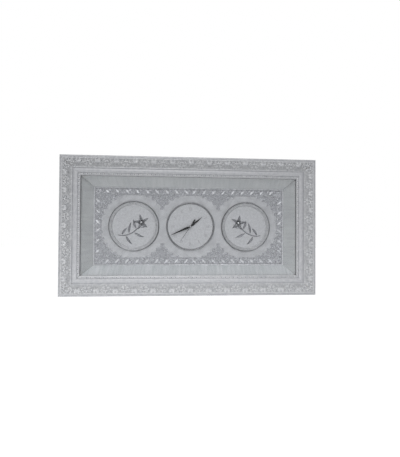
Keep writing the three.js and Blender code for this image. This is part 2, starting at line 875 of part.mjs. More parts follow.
function gearTrain() {
  const thirdPinionPhase = meshPhase(centreTeeth, 0, thirdPinionTeeth, thirdDirection);
  const thirdPhase = meshPhase(secondPinionTeeth, 0, thirdTeeth, thirdDirection);
  const stepPinionPhase = meshPhase(secondTeeth, 0, stepPinionTeeth, stepDirection);
  const rotorPhase = meshPhase(stepTeeth, 0, rotorTeeth, rotorDirection);
  const motionPhase = meshPhase(cannonTeeth, 0, motionTeeth, motionDirection);
  const motionPinionPhase = meshPhase(hourTeeth, 0, motionPinionTeeth, motionDirection);
  const knobPhase = meshPhase(motionTeeth, motionPhase, knobTeeth, knobDirection);

  const rearPivot = innerRear + pivotDepth;
  const platePivot = layers.plate + plateThickness / 2 - pivotDepth;
  const minuteBore = secondArborRadius + tubePlay;
  const hourBore = minuteArborRadius + tubePlay;

  const rotor = join(
    rod(magnetRadius, magnetBack, magnetFront, rotorAt, coarseSegments),
    wheelDisc(rotorTeeth, stepModule, rotorPhase, rotorAt, layers.step, pinionThickness),
    rod(pivotRadius, innerRear - pivotDepth, platePivot, rotorAt),
  );
  const step = join(
    wheelDisc(stepTeeth, stepModule, 0, stepAt, layers.step, wheelThickness),
    wheelDisc(stepPinionTeeth, stepModule, stepPinionPhase, stepAt, layers.second, pinionThickness),
    rod(secondArborRadius, layers.step, layers.second, stepAt),
    rod(pivotRadius, rearPivot, platePivot, stepAt),
  );
  const second = join(
    wheelDisc(secondTeeth, stepModule, 0, [0, 0], layers.second, wheelThickness),
    wheelDisc(secondPinionTeeth, trainModule, 0, [0, 0], layers.third, pinionThickness),
    rod(secondArborRadius, layers.second, secondFront),
    rod(pivotRadius, rearPivot, layers.second),
  );
  const third = join(
    wheelDisc(thirdTeeth, trainModule, thirdPhase, thirdAt, layers.third, wheelThickness),
    wheelDisc(thirdPinionTeeth, centreModule, thirdPinionPhase, thirdAt, layers.centre, pinionThickness),
    rod(secondArborRadius, layers.third, layers.centre, thirdAt),
    rod(pivotRadius, platePivot, layers.motion, thirdAt),
  );
  const clutchBore = minuteArborRadius + pivotPlay;
  const centreFront = layers.centre + wheelThickness / 2 + overrun;
  const centre = cut(
    solid(wheelDisc(centreTeeth, centreModule, 0, [0, 0], layers.centre, wheelThickness)),
    rod(clutchBore, layers.centre - wheelThickness, centreFront, [0, 0], coarseSegments),
  );
  const cannonBack = layers.centre - wheelThickness / 2 - pivotPlay;
  const minute = cut(
    join(
      rod(minuteArborRadius, cannonBack, minuteFront, [0, 0], coarseSegments),
      wheelDisc(cannonTeeth, motionModule, 0, [0, 0], layers.motion, pinionThickness),
      rod(minuteArborRadius + pivotRadius, cannonBack - pivotRadius, cannonBack, [0, 0], coarseSegments),
    ),
    rod(minuteBore, cannonBack - overrun - pivotRadius, minuteFront + overrun, [0, 0], coarseSegments),
  );
  const motion = join(
    wheelDisc(motionTeeth, motionModule, motionPhase, motionAt, layers.motion, wheelThickness),
    wheelDisc(motionPinionTeeth, hourModule, motionPinionPhase, motionAt, layers.hour, pinionThickness),
    rod(secondArborRadius, layers.motion, layers.hour, motionAt),
    rod(pivotRadius, platePivot, innerFront + pivotDepth - pivotPlay, motionAt),
  );
  const hour = cut(
    join(
      wheelDisc(hourTeeth, hourModule, 0, [0, 0], layers.hour, wheelThickness),
      rod(hourPipeRadius, layers.hour, pipeFront, [0, 0], coarseSegments),
    ),
    rod(hourBore, layers.hour - overrun - wheelThickness, pipeFront + overrun, [0, 0], coarseSegments),
  );
  const knobFront = caseRear - hardwarePlay;
  const knob = join(
    rod(knobRadius, knobFront - knobHeight, knobFront, knobAt, coarseSegments),
    rod(knobArborRadius, knobFront - knobHeight / 2, layers.motion, knobAt),
    wheelDisc(knobTeeth, motionModule, knobPhase, knobAt, layers.motion, pinionThickness),
    rod(pivotRadius, layers.motion, innerFront - tubePlay, knobAt),
  );
  return [
    mesh("rotor", rotor, finishes.steel),
    mesh("step_wheel", step, finishes.train),
    mesh("second_wheel", second, finishes.train),
    mesh("third_wheel", third, finishes.train),
    mesh("centre_wheel", centre, finishes.train),
    mesh("minute_arbor", minute, finishes.brass),
    mesh("motion_wheel", motion, finishes.train),
    mesh("hour_wheel", hour, finishes.train),
    mesh("set_knob", knob, finishes.movement),
  ];
}

// The case encloses the cell at the bottom, the train in the middle and the coil at the top.
const legX = coilLength / 2 + coilFlange + statorLeg / 2;
const coilAt = [rotorAt[0], rotorAt[1] + coilRise];
const coilLevel = innerRear + casePlay + coilRadius;
const lowestTip = Math.max(tipRadius(centreTeeth, centreModule), tipRadius(hourTeeth, hourModule));
const partitionTop = -lowestTip - casePlay;
const partitionBottom = partitionTop - caseWall;
const cellAxis = [0, partitionBottom - cellPlay - cellRadius];
const cellLevel = innerFront - cellPlay - cellRadius;
const innerBottom = cellAxis[1] - cellRadius - cellPlay;
const innerTop = coilAt[1] + coilRadius + 2 * casePlay;
const innerHalf = Math.max(
  cellLength / 2 + contactRoom,
  rotorAt[0] + legX + statorLeg / 2 + casePlay,
  tipRadius(knobTeeth, motionModule) - knobAt[0] + casePlay,
);
const caseHalf = innerHalf + caseWall;
const caseHeight = innerTop - innerBottom + 2 * caseWall;
const caseCentre = [0, (innerTop + innerBottom) / 2];
const plateBack = layers.plate - plateThickness / 2;
const plateFront = layers.plate + plateThickness / 2;
const circuitFront = statorFront;
const circuitAt = [-innerHalf + casePlay + circuitWidth / 2, innerTop - casePlay - circuitHeight / 2];

function platePosts() {
  const inset = bossRadius + casePlay;
  const x = innerHalf - inset;
  return [
    [-x, partitionTop + inset],
    [x, partitionTop + inset],
    [x, rotorAt[1] + statorLeg / 2],
    [-x, rotorAt[1]],
  ];
}

function circuitPosts() {
  const inset = bossRadius + casePlay;
  const [x, y] = circuitAt;
  return [
    [x - circuitWidth / 2 + inset, y + circuitHeight / 2 - inset],
    [x + circuitWidth / 2 - inset, y + circuitHeight / 2 - inset],
  ];
}

// A hollow boss that carries a pivot, with the bore open at its end.
function boss(body, centre, base, end) {
  const [back, front] = [Math.min(base, end), Math.max(base, end)];
  const bearing = pivotRadius + pivotPlay;
  const mouth = end < base ? [end - overrun, end + pivotDepth] : [end - pivotDepth, end + overrun];
  return cut(body.add(solid(rod(bossRadius, back, front, centre))), rod(bearing, ...mouth, centre));
}

function caseOutline() {
  return roundedRectangle(2 * caseHalf, caseHeight, caseCorner, caseCentre);
}

function movementFrontCase() {
  const outer = caseOutline();
  const chamber = rectangle(2 * innerHalf, innerTop - partitionTop, [0, (innerTop + partitionTop) / 2]);
  const bay = rectangle(2 * innerHalf, 2 * (partitionBottom - cellAxis[1]), cellAxis);
  const bushBore = hourPipeRadius + tubePlay;
  let body = solid(slab(outer, innerRear, caseFront, cornerSteps));
  const open = innerRear - overrun;
  body = cut(body, slab(chamber, open, innerFront), slab(bay, open, innerFront));
  platePosts().forEach((at) => {
    body = body.add(solid(rod(bossRadius, plateFront, innerFront + overrun, at)));
  });
  circuitPosts().forEach((at) => {
    body = body.add(solid(rod(bossRadius, circuitFront, innerFront + overrun, at)));
  });
  body = body.add(solid(rod(bushRadius, caseFront - overrun, bushFront, [0, 0], coarseSegments)));
  body = cut(body, rod(bushBore, innerFront - overrun, bushFront + overrun, [0, 0], coarseSegments));
  body = boss(body, thirdAt, innerFront + overrun, layers.motion + pivotDepth - pivotPlay);
  const bearing = pivotRadius + pivotPlay;
  [motionAt, knobAt].forEach((at) => {
    body = cut(body, rod(bearing, innerFront - overrun, innerFront + pivotDepth, at));
  });
  return mesh("movement_front_case", body, finishes.movement);
}

function movementRearCase() {
  const height = caseCentre[1] + caseHeight / 2 - partitionBottom;
  const cover = rectangle(2 * caseHalf, height, [0, partitionBottom + height / 2]);
  let body = solid(slab(caseOutline(), caseRear, innerRear, cornerSteps));
  body = body.intersect(solid(slab(cover, caseRear - overrun, innerRear + overrun)));
  const bossEnd = innerRear + 2 * pivotDepth;
  body = boss(body, [0, 0], innerRear - overrun, bossEnd);
  body = boss(body, stepAt, innerRear - overrun, bossEnd);
  const bearing = pivotRadius + pivotPlay;
  body = cut(body, rod(bearing, innerRear - pivotDepth - pivotPlay, innerRear + overrun, rotorAt));
  body = cut(body, rod(knobArborRadius + tubePlay, caseRear - overrun, innerRear + overrun, knobAt));
  return mesh("movement_rear_case", body, finishes.movement);
}

function trainPlate() {
  const posts = platePosts();
  const bottom = partitionTop + casePlay;
  const top = posts[2][1] + bossRadius + casePlay;
  const shape = rectangle(2 * (innerHalf - casePlay), top - bottom, [0, (top + bottom) / 2]);
  const bearing = pivotRadius + pivotPlay;
  const centreHole = tipRadius(secondPinionTeeth, trainModule) + tubePlay;
  let body = solid(slab(shape, plateBack, plateFront));
  [thirdAt, stepAt, rotorAt, motionAt].forEach((at) => {
    body = cut(body, rod(bearing, plateBack - overrun, plateFront + overrun, at));
  });
  body = cut(body, rod(centreHole, plateBack - overrun, plateFront + overrun));
  body = cut(body, rod(knobArborRadius + tubePlay, plateBack - overrun, plateFront + overrun, knobAt));
  statorPillars().forEach((at) => {
    body = body.add(solid(rod(bossRadius, statorFront, plateBack + overrun, at)));
  });
  return mesh("train_plate", body, finishes.movement);
}

function statorPillars() {
  const y = rotorAt[1] + bossRadius;
  const x = legX - statorLeg / 4;
  return [
    [rotorAt[0] - x, y],
    [rotorAt[0] + x, y],
  ];
}

function motor() {
  const [x, y] = rotorAt;
  const left = x - legX - statorLeg / 2;
  const right = x + legX + statorLeg / 2;
  const top = coilAt[1] + statorLeg / 2;
  const barTop = y + statorBar / 2;
  const points = [
    [left, y - statorBar / 2],
    [right, y - statorBar / 2],
    [right, top],
    [right - statorLeg, top],
    [right - statorLeg, barTop],
    [left + statorLeg, barTop],
    [left + statorLeg, top],
    [left, top],
  ];
  const plate = withHole(outline(points), magnetRadius + magnetPlay, coarseSegments, rotorAt);
  const winding = turned(
    [
      [0, -coilLength / 2 - coilFlange],
      [coilRadius, -coilLength / 2 - coilFlange],
      [coilRadius, -coilLength / 2],
      [coilRadius - coilFlange / 2, -coilLength / 2],
      [coilRadius - coilFlange / 2, coilLength / 2],
      [coilRadius, coilLength / 2],
      [coilRadius, coilLength / 2 + coilFlange],
      [0, coilLength / 2 + coilFlange],
    ],
    smallSegments,
  );
  winding.rotateY(Math.PI / 2);
  winding.translate(coilAt[0], coilAt[1], coilLevel);
  const coreShape = rectangle(2 * legX + statorLeg, statorLeg / 2, coilAt);
  const core = slab(coreShape, statorFront, statorFront + statorThickness);
  return [
    mesh("stator", slab(plate, statorFront - statorThickness, statorFront), finishes.steel),
    mesh("coil", join(winding, core), finishes.copper),
  ];
}

function circuit() {
  const [x, y] = circuitAt;
  const boardShape = rectangle(circuitWidth, circuitHeight, circuitAt);
  const board = slab(boardShape, circuitFront - circuitThickness, circuitFront);
  const chipSide = circuitWidth / 3;
  const chip = rectangle(chipSide, chipSide, [x - chipSide / 2, y - chipSide / 2]);
  const chipFront = circuitFront + circuitThickness;
  const can = rod(crystalRadius, -crystalLength / 2, crystalLength / 2, [0, 0]);
  can.rotateX(Math.PI / 2);
  can.translate(x + circuitWidth / 2 - 2 * crystalRadius, y, circuitFront + crystalRadius + hardwarePlay);
  return [
    mesh("circuit_board", join(board, slab(chip, circuitFront - overrun, chipFront)), finishes.circuit),
    mesh("quartz_crystal", can, finishes.steel),
  ];
}

function cellAndContacts() {
  const body = turned(
    [
      [0, -cellLength / 2],
      [cellRadius, -cellLength / 2],
      [cellRadius, cellLength / 2 - cellNub],
      [cellNubRadius, cellLength / 2 - cellNub],
      [cellNubRadius, cellLength / 2],
      [0, cellLength / 2],
    ],
    coarseSegments,
  );
  body.rotateY(Math.PI / 2);
  body.translate(cellAxis[0], cellAxis[1], cellLevel);
  const contact = (side) => {
    const wall = side * (innerHalf - hardwarePlay - contactThickness / 2);
    const blade = slab(
      rectangle(contactThickness, 2 * cellRadius, [wall, cellAxis[1]]),
      cellLevel - contactWidth / 2,
      cellLevel + contactWidth / 2,
    );
    const inner = side * (cellLength / 2 + hardwarePlay);
    const reach = Math.abs(wall) - Math.abs(inner);
    const dimple = slab(
      rectangle(reach, contactWidth / 2, [(wall + inner) / 2, cellAxis[1]]),
      cellLevel - contactWidth / 4,
      cellLevel + contactWidth / 4,
    );
    return join(blade, dimple);
  };
  return [
    mesh("battery", body, finishes.cell),
    mesh("contact_positive", contact(1), finishes.steel),
    mesh("contact_negative", contact(-1), finishes.steel),
  ];
}

function movementFasteners() {
  const gasketShape = withHole(circle(gasketRadius, coarseSegments), bushRadius + bushPlay, coarseSegments);
  const nutSides = 6;
  const nutCorner = nutWidth / 2 / Math.cos(Math.PI / nutSides);
  const nutShape = withHole(circle(nutCorner, nutSides), bushRadius + hardwarePlay, coarseSegments);
  return [
    mesh("gasket", slab(gasketShape, caseFront, panelBack), finishes.rubber),
    mesh("centre_nut", slab(nutShape, nutBack, nutBack + nutHeight), finishes.silver),
  ];
}

function turnButtons() {
  return buttonPlaces().map(({ name, at, down }) => {
    const straight = buttonLength - buttonWidth;
    const way = down ? -1 : 1;
    const far = [at[0], at[1] + way * straight];
    const lower = down ? far : at;
    const upper = down ? at : far;
    const shape = new THREE.Shape();
    shape.absarc(upper[0], upper[1], buttonWidth / 2, 0, Math.PI, false);
    shape.absarc(lower[0], lower[1], buttonWidth / 2, Math.PI, 2 * Math.PI, false);
    withHole(shape, screwRadius + screwPlay, smallSegments, at);
    const front = backLevel - hardwarePlay;
    const button = slab(shape, front - buttonThickness, front, arcSteps);
    return mesh(`turn_button_${name}`, button, finishes.brass);
  });
}

function hangers() {
  return hangerPlaces().flatMap(({ name, x }) => {
    const strapFront = backLevel;
    const strapBack = strapFront - hangerThickness;
    const loopOuter = hangerBore + hangerThickness;
    const loopLevel = hangerLoopLevel;
    const screwAt = [x, hangerScrewHeight];
    const stripShape = withHole(
      rectangle(hangerWidth, hangerLength, [x, hangerTop - hangerLength / 2]),
      screwRadius + screwPlay,
      smallSegments,
      screwAt,
    );
    const strip = slab(stripShape, strapBack, strapFront);
    const loopShape = withHole(circle(loopOuter, smallSegments), hangerBore, smallSegments);
    const loop = slab(loopShape, -hangerWidth / 2, hangerWidth / 2);
    loop.rotateY(Math.PI / 2);
    loop.translate(x, hangerTop, loopLevel);
    const keepShape = rectangle(2 * hangerWidth, 2 * hangerLength, [x, hangerTop]);
    const keep = slab(keepShape, loopLevel - 2 * loopOuter, strapFront);
    const strap = solid(strip).add(solid(loop)).intersect(solid(keep));
    const bore = slab(circle(hangerBore, smallSegments), -hangerWidth, hangerWidth);
    bore.rotateY(Math.PI / 2);
    bore.translate(x, hangerTop, loopLevel);
    return [
      mesh(`hanger_strap_${name}`, cut(strap, bore), finishes.steel),
      mesh(`hanger_screw_${name}`, screw(hangerThickness + hardwarePlay, screwAt), finishes.steel),
      mesh(`hanger_ring_${name}`, hangerRing([x, hangerTop], loopLevel), finishes.steel),
    ];
  });
}

// A D-shaped ring of round wire, hanging from its straight side.
function hangerRing(at, level) {
  const half = ringWidth / 2;
  const round = Math.min(half, ringHeight) - ringWireRadius;
  const corner = 2 * ringWireRadius;
  const path = new THREE.Path();
  path.moveTo(-half + corner, 0);
  path.lineTo(half - corner, 0);
  path.quadraticCurveTo(half, 0, half, -corner);
  path.lineTo(half, -ringHeight + round);
  path.quadraticCurveTo(half, -ringHeight, half - round, -ringHeight);
  path.lineTo(-half + round, -ringHeight);
  path.quadraticCurveTo(-half, -ringHeight, -half, -ringHeight + round);
  path.lineTo(-half, -corner);
  path.quadraticCurveTo(-half, 0, -half + corner, 0);
  const geometry = wireLoop(path.getPoints(curveSteps).slice(0, -1), ringWireRadius, smallSegments);
  geometry.translate(at[0], at[1], level);
  return geometry;
}

// Round wire swept along a flat closed path.
function wireLoop(path, radius, sideCount) {
  const count = path.length;
  const positions = [];
  path.forEach((point, i) => {
    const before = path[(i + count - 1) % count];
    const after = path[(i + 1) % count];
    const tangent = after.clone().sub(before).normalize();
    for (let k = 0; k < sideCount; k += 1) {
      const angle = (2 * Math.PI * k) / sideCount;
      const out = radius * Math.cos(angle);
      positions.push(point.x + out * tangent.y, point.y - out * tangent.x, radius * Math.sin(angle));
    }
  });
  const index = [];
  for (let i = 0; i < count; i += 1) {
    const next = (i + 1) % count;
    for (let k = 0; k < sideCount; k += 1) {
      const up = (k + 1) % sideCount;
      const [a, b] = [i * sideCount + k, i * sideCount + up];
      const [c, d] = [next * sideCount + k, next * sideCount + up];
      index.push(a, c, b, b, c, d);
    }
  }
  const geometry = new THREE.BufferGeometry();
  geometry.setAttribute("position", new THREE.Float32BufferAttribute(positions, 3));
  geometry.setIndex(index);
  return geometry;
}

function bumpers() {
  const x = frameWidth / 2 - hardwareInset;
  const y = -frameHeight / 2 + hardwareInset;
  const crownShare = 0.75;
  return [
    ["bumper_left", -x],
    ["bumper_right", x],
  ].map(([name, at]) => {
    const profile = [
      [0, 0],
      [bumperRadius * crownShare, 0],
      [bumperRadius, bumperDepth / 2],
      [bumperRadius, bumperDepth],
      [0, bumperDepth],
    ];
    return mesh(name, turned(profile, coarseSegments), finishes.rubber, [at, y]);
  });
}

const clock = new THREE.Group();
clock.add(
  ...frameRails(),
  ...liners(),
  ...boards(),
  lacePanel(),
  ...medallions(),
  ...dial(),
  ...hands(),
  movementFrontCase(),
  movementRearCase(),
  trainPlate(),
  ...movementFasteners(),
  ...motor(),
  ...circuit(),
  ...gearTrain(),
  ...cellAndContacts(),
  ...turnButtons(),
  ...hangers(),
  ...bumpers(),
);
clock.rotation.x = Math.PI / 2;

export default clock;
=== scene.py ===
"""Looks for a long wall clock: a deep carved frame, sloping liners and three round fields behind glass.

Lengths are in millimetres. A place is x to the right, y up and the level out from the wall, until
world() turns it into the row frame in metres, where z is up and the front faces -Y.
"""

import json
import math

import bmesh
import bpy
import numpy as np
from mathutils import Matrix, Vector

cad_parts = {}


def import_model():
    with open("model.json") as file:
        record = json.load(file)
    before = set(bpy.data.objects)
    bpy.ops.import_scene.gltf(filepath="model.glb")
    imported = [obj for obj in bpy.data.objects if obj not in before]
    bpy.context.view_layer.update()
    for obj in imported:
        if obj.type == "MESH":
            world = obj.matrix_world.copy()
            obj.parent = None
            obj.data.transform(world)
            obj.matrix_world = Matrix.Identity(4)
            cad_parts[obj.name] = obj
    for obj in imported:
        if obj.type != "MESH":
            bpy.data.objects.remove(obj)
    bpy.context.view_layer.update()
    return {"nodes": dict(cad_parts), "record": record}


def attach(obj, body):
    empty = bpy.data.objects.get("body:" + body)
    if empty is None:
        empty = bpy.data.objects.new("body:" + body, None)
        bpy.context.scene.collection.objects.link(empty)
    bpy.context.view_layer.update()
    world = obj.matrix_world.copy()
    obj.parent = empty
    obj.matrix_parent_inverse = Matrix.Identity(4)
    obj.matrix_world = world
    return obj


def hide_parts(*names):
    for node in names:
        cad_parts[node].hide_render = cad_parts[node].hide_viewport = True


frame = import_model()

MM = 0.001
WELD_DISTANCE = 0.002 * MM
CORNERS = [(1, 1), (-1, 1), (-1, -1), (1, -1)]

# The frame's outside and its section, as in the solids
FRAME_WIDTH = 870.0
FRAME_HEIGHT = 470.0
MOULDING_WIDTH = 68.0
MOULDING_DEPTH = 77.0
MOULDING_INNER = 61.0
SIGHT_RECESS = 13.0
BACK_LEVEL = 4.0
RIDGE_LEVEL = 81.0
LIP_LEVEL = 64.0
MITRE_GAP = 0.04

# Levels behind the glass
PANEL_FACE = 26.5
DISC_FACE = 28.5
LACE_FACE = 29.0

# The openwork panel
LACE_WIDTH = 674.0
LACE_HEIGHT = 274.0
LACE_BORDER = 26.5
INNER_X = LACE_WIDTH / 2 - LACE_BORDER
INNER_Y = LACE_HEIGHT / 2 - LACE_BORDER
LACE_RING = 112.39
LACE_RISE = LACE_FACE - PANEL_FACE - 0.05
DISC_SPACING = 198.1

# The rings' outer radius, rim and rise
MEDALLION_SIZE = (88.0, 11.0, 7.0)
DIAL_SIZE = (85.98, 6.5, 6.0)

# The camera, fitted to the edges of the frame, the liners and the rings
CAMERA_AT = (-26.1, -1008.7, -20.0)
CAMERA_TURNS = ((-3.53, "Z"), (0.78, "X"), (-0.34, "Y"), (90, "X"))
FOCAL_PIXELS = 275.8
IMAGE_HEIGHT = 457
SENSOR_WIDTH = 36.0

# The stage, in metres, and its brightness
FLOOR_LEVEL = -0.75
FLOOR_HALF = 12.0
FLOOR_GLOW = 0.68
AMBIENT = 0.36


def world(points):
    """Places seen from the front as points of the row frame in metres."""
    x, y, level = np.asarray(points, float).T
    return np.stack([x, -level, y], axis=1) * MM


class Form:
    """Points and faces gathered for one piece, with the material slot of each face."""

    def __init__(self):
        self.points = []
        self.faces = []
        self.slots = []
        self.count = 0

    def add(self, points, faces):
        self.points.append(np.asarray(points, float))
        self.faces.extend([index + self.count for index in face] for face in faces)
        self.slots.extend([0] * len(faces))
        self.count += len(points)

    def sweep(self, rows, closed=False):
        """A closed skin through sections that have the same number of points each."""
        rows = np.asarray(rows, float)
        count, points = rows.shape[:2]
        faces = grid_faces(count, points, closed_rows=closed, closed_columns=True)
        if not closed:
            faces += [list(range(points)), [(count - 1) * points + index for index in range(points)]]
        self.add(rows.reshape(-1, 3), faces)

    def paint(self, slot):
        """Gives every face the same material slot."""
        self.slots = [slot] * len(self.faces)

    def mirrored(self, x_sign, y_sign):
        """A copy mirrored in x, in y or in both."""
        copy = Form()
        copy.add(np.concatenate(self.points) * (x_sign, y_sign, 1), self.faces)
        return copy

    def join(self, other):
        slots = self.slots + other.slots
        self.add(np.concatenate(other.points), other.faces)
        self.slots = slots


def add_object(name, data):
    made = bpy.data.objects.new(name, data)
    bpy.context.scene.collection.objects.link(made)
    return made


def make_piece(name, form, materials, body="case", replaced=(), sharp=35, values=None):
    """An object from a form, riding on a body, with smooth faces but for edges sharper than an angle."""
    mesh = bpy.data.meshes.new(name)
    mesh.from_pydata(world(np.concatenate(form.points)).tolist(), [], form.faces)
    for material in materials:
        mesh.materials.append(material)
    mesh.polygons.foreach_set("material_index", np.array(form.slots, np.int32))
    if values is not None:
        mesh.attributes.new("relief", "FLOAT", "POINT").data.foreach_set("value", values)
    mesh.validate()
    working = bmesh.new()
    working.from_mesh(mesh)
    bmesh.ops.remove_doubles(working, verts=working.verts, dist=WELD_DISTANCE)
    bmesh.ops.dissolve_degenerate(working, edges=working.edges, dist=WELD_DISTANCE)
    bmesh.ops.recalc_face_normals(working, faces=working.faces)
    working.to_mesh(mesh)
    working.free()
    mesh.polygons.foreach_set("use_smooth", np.ones(len(mesh.polygons), bool))
    mesh.set_sharp_from_angle(angle=math.radians(sharp))
    piece = add_object(name, mesh)
    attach(piece, body)
    if replaced:
        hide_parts(*replaced)


def grid_faces(rows, columns, closed_rows=False, closed_columns=False):
    """Quads between the points of a grid that is kept row by row."""
    faces = []
    for row in range(rows if closed_rows else rows - 1):
        below = row * columns
        above = ((row + 1) % rows) * columns
        for column in range(columns if closed_columns else columns - 1):
            following = (column + 1) % columns
            faces.append((below + column, below + following, above + following, above + column))
    return faces


def turned(points, degrees):
    """Flat places turned about the origin, counterclockwise as seen from the front."""
    angle = math.radians(degrees)
    x, y = points[..., 0], points[..., 1]
    result = np.array(points, float)
    result[..., 0] = x * math.cos(angle) - y * math.sin(angle)
    result[..., 1] = x * math.sin(angle) + y * math.cos(angle)
    return result


def clockwise(form, degrees):
    form.points = [turned(points, -degrees) for points in form.points]
    return form


def lifted(flat, level):
    """Flat places put on a level, or each on a level of its own."""
    return np.column_stack([flat, np.broadcast_to(level, len(flat))])


def polar(angle, radius=1.0, centre=(0, 0)):
    """Flat places at an angle in radians and a distance from a centre."""
    return np.stack([centre[0] + radius * np.cos(angle), centre[1] + radius * np.sin(angle)], axis=-1)


def pulled(start, corner, end, share):
    """Places on the curve from a start to an end that the corner between them pulls."""
    return (1 - share) ** 2 * start + 2 * share * (1 - share) * corner + share**2 * end


def left_of(run):
    """The unit directions to the left of the given ones."""
    run = run / np.maximum(np.linalg.norm(run, axis=1, keepdims=True), 1e-9)
    return np.stack([-run[:, 1], run[:, 0]], axis=1)


def stretches(mask):
    """The places in a row where a mask holds, apart for each stretch of neighbours."""
    runs = np.split(np.arange(len(mask)), np.nonzero(np.diff(mask))[0] + 1)
    return [run for run in runs if mask[run[0]]]


def smooth_path(points, steps=6):
    """A Catmull-Rom curve through the points."""
    given = np.asarray(points, float)
    padded = np.vstack([2 * given[0] - given[1], given, 2 * given[-1] - given[-2]])
    path = []
    for i in range(len(given) - 1):
        a, b, c, d = padded[i:i + 4]
        for t in np.linspace(0, 1, steps, endpoint=False):
            bend_in = 2 * a - 5 * b + 4 * c - d
            bend_out = 3 * b - a - 3 * c + d
            path.append(0.5 * (2 * b + (c - a) * t + bend_in * t**2 + bend_out * t**3))
    path.append(given[-1])
    return np.array(path)


def spiral(centre, outer, inner, start, turns, steps=22):
    """A scroll that winds from its outer radius in to its inner one."""
    share = np.linspace(0, 1, steps)
    radius = outer + (inner - outer) * share**0.8
    return polar(math.radians(start) + 2 * math.pi * turns * share, radius, centre)


# The carved relief of the frame, which repeats in cells of two halves, each from a shell to a spray


CELL = 62.0
BAND_START = 10.5
BAND_WIDTH = 29.0
DRAWN_WIDTH = 31.0
SOFTER_SHARE = 0.35

# The shell's and the spray's leaves as points of their middle line, half width and height
CARVED_LEAVES = [
    ([(0, 3), (0, 12), (0, 28)], 2.3, 3.4),
    ([(1.5, 7), (4.5, 16), (7.5, 27)], 2.1, 3.0),
    ([(2, 5), (7.5, 12), (13, 22)], 2.1, 2.9),
    ([(2, 3.5), (8, 7), (14.5, 14)], 1.9, 2.7),
    ([(2, 1.8), (7, 2.2), (12.5, 5)], 1.6, 2.3),
    ([(31, 1), (31, 8), (31, 19)], 2.2, 3.0),
    ([(30, 7), (27, 12), (26.5, 17)], 1.7, 2.5),
    ([(30.5, 24), (30, 28), (31, 32)], 1.8, 2.2),
    ([(17, 1.6), (22, 0.8), (28.5, 2.4)], 1.5, 2.2),
    ([(12, 26), (16, 30), (22, 30.5)], 1.7, 2.3),
    ([(18, 26), (22.5, 28.5), (27.5, 28)], 1.4, 2.1),
    ([(9, 29.5), (13, 32), (18, 32.5)], 1.2, 1.6),
]

# Scrolls as centre, outer radius, start and turns, with the first and last half width and height
CARVED_SCROLLS = [((20.5, 9.5), 6.6, 160, -1.35), ((23.5, 21), 4.9, -60, 1.25)]
SCROLL_END = 1.2
SCROLL_WIDTH = (1.7, 1.1)
SCROLL_HEIGHT = (3.0, 2.4)
TENDRIL = [(14, 11.5), (15.5, 17), (19, 21), (24, 26)]


def leaf_widths(count, width, blunt=0.7):
    share = np.linspace(0, 1, count)
    return width * np.maximum(np.sin(math.pi * share**blunt), 0.06)


def carving_strokes():
    """The carved strokes of half a cell, each with its path, half widths and heights."""
    strokes = []
    for points, width, height in CARVED_LEAVES:
        path = smooth_path(points)
        widths = leaf_widths(len(path), width)
        strokes.append((path, widths, height * np.minimum(1, widths / width + 0.25)))
    for centre, outer, start, turns in CARVED_SCROLLS:
        path = spiral(centre, outer, SCROLL_END, start, turns)
        count = len(path)
        strokes.append((path, np.linspace(*SCROLL_WIDTH, count), np.linspace(*SCROLL_HEIGHT, count)))
        eye = np.array([centre, (centre[0] + 0.1, centre[1])])
        strokes.append((eye, np.full(2, SCROLL_WIDTH[0]), np.full(2, SCROLL_HEIGHT[0])))
    path = smooth_path(TENDRIL)
    strokes.append((path, np.linspace(1.6, 1.2, len(path)), np.linspace(2.8, 2.2, len(path))))
    return strokes


def stroke_height(x, y, path, widths, heights):
    """How high a rounded stroke stands at each place."""
    best = np.zeros_like(x)
    for i in range(len(path) - 1):
        run = path[i + 1] - path[i]
        to_x, to_y = x - path[i][0], y - path[i][1]
        share = np.clip((to_x * run[0] + to_y * run[1]) / max(run @ run, 1e-9), 0, 1)
        gap = np.hypot(to_x - share * run[0], to_y - share * run[1])
        width = widths[i] + (widths[i + 1] - widths[i]) * share
        height = heights[i] + (heights[i + 1] - heights[i]) * share
        best = np.maximum(best, height * np.sqrt(np.maximum(0, 1 - (gap / width) ** 2)))
    return best


def ease(value, low, high):
    share = np.clip((value - low) / (high - low), 0, 1)
    return share * share * (3 - 2 * share)


def carved_cell(across, columns):
    """The relief over one cell and its ground, as rows across the band and columns along it."""
    along = np.linspace(0, CELL, columns + 1)
    fold = np.minimum(along, CELL - along)
    u, v = np.meshgrid(fold, (across - BAND_START) * DRAWN_WIDTH / BAND_WIDTH)
    raised = np.zeros_like(u)
    for path, widths, heights in carving_strokes():
        mirrored = path * (-1, 1)
        for line in (path, mirrored, mirrored + (CELL, 0)):
            raised = np.maximum(raised, stroke_height(u, v, line, widths, heights))
    edge = ease(v, -0.5, 2) * ease(DRAWN_WIDTH - v, -0.5, 2.5)
    return raised * edge * (1 - SOFTER_SHARE * ease(v, 12, 22)), edge


# The section's lines and curves as shares of its width and of its depth or its recess. After the start,
# each one goes on from the end of the one before.
SIDE_SHARES = [[(0.2, 0)], [(0.2, 0.45)], [(0.2, 0.68), (0.03, 0.74)], [(0, 0.76)]]
FACE_SHARES = [
    [(0, 0.62)],
    [(0, 0.38), (0.08, 0.35)],
    [(0.12, 0), (0.18, 0)],
    [(0.24, 0.02), (0.26, 0.22)],
    [(0.36, 0.2), (0.43, 0.45)],
    [(0.5, 0.72), (0.57, 0.85)],
    [(0.575, 0.72)],
    [(0.605, 0.72)],
    [(0.61, 0.86)],
    [(0.73, 0.42), (0.85, 0.8)],
    [(0.86, 0.98)],
    [(0.9, 0.76), (0.94, 0.98)],
    [(0.95, 0.88)],
    [(1, 1)],
]
BEAD_STRETCH = 11
SIDE_STEP = 4.0
FACE_STEP = 1.0
BEAD_STEP = 0.7
PAINT = 0
WOOD = 1


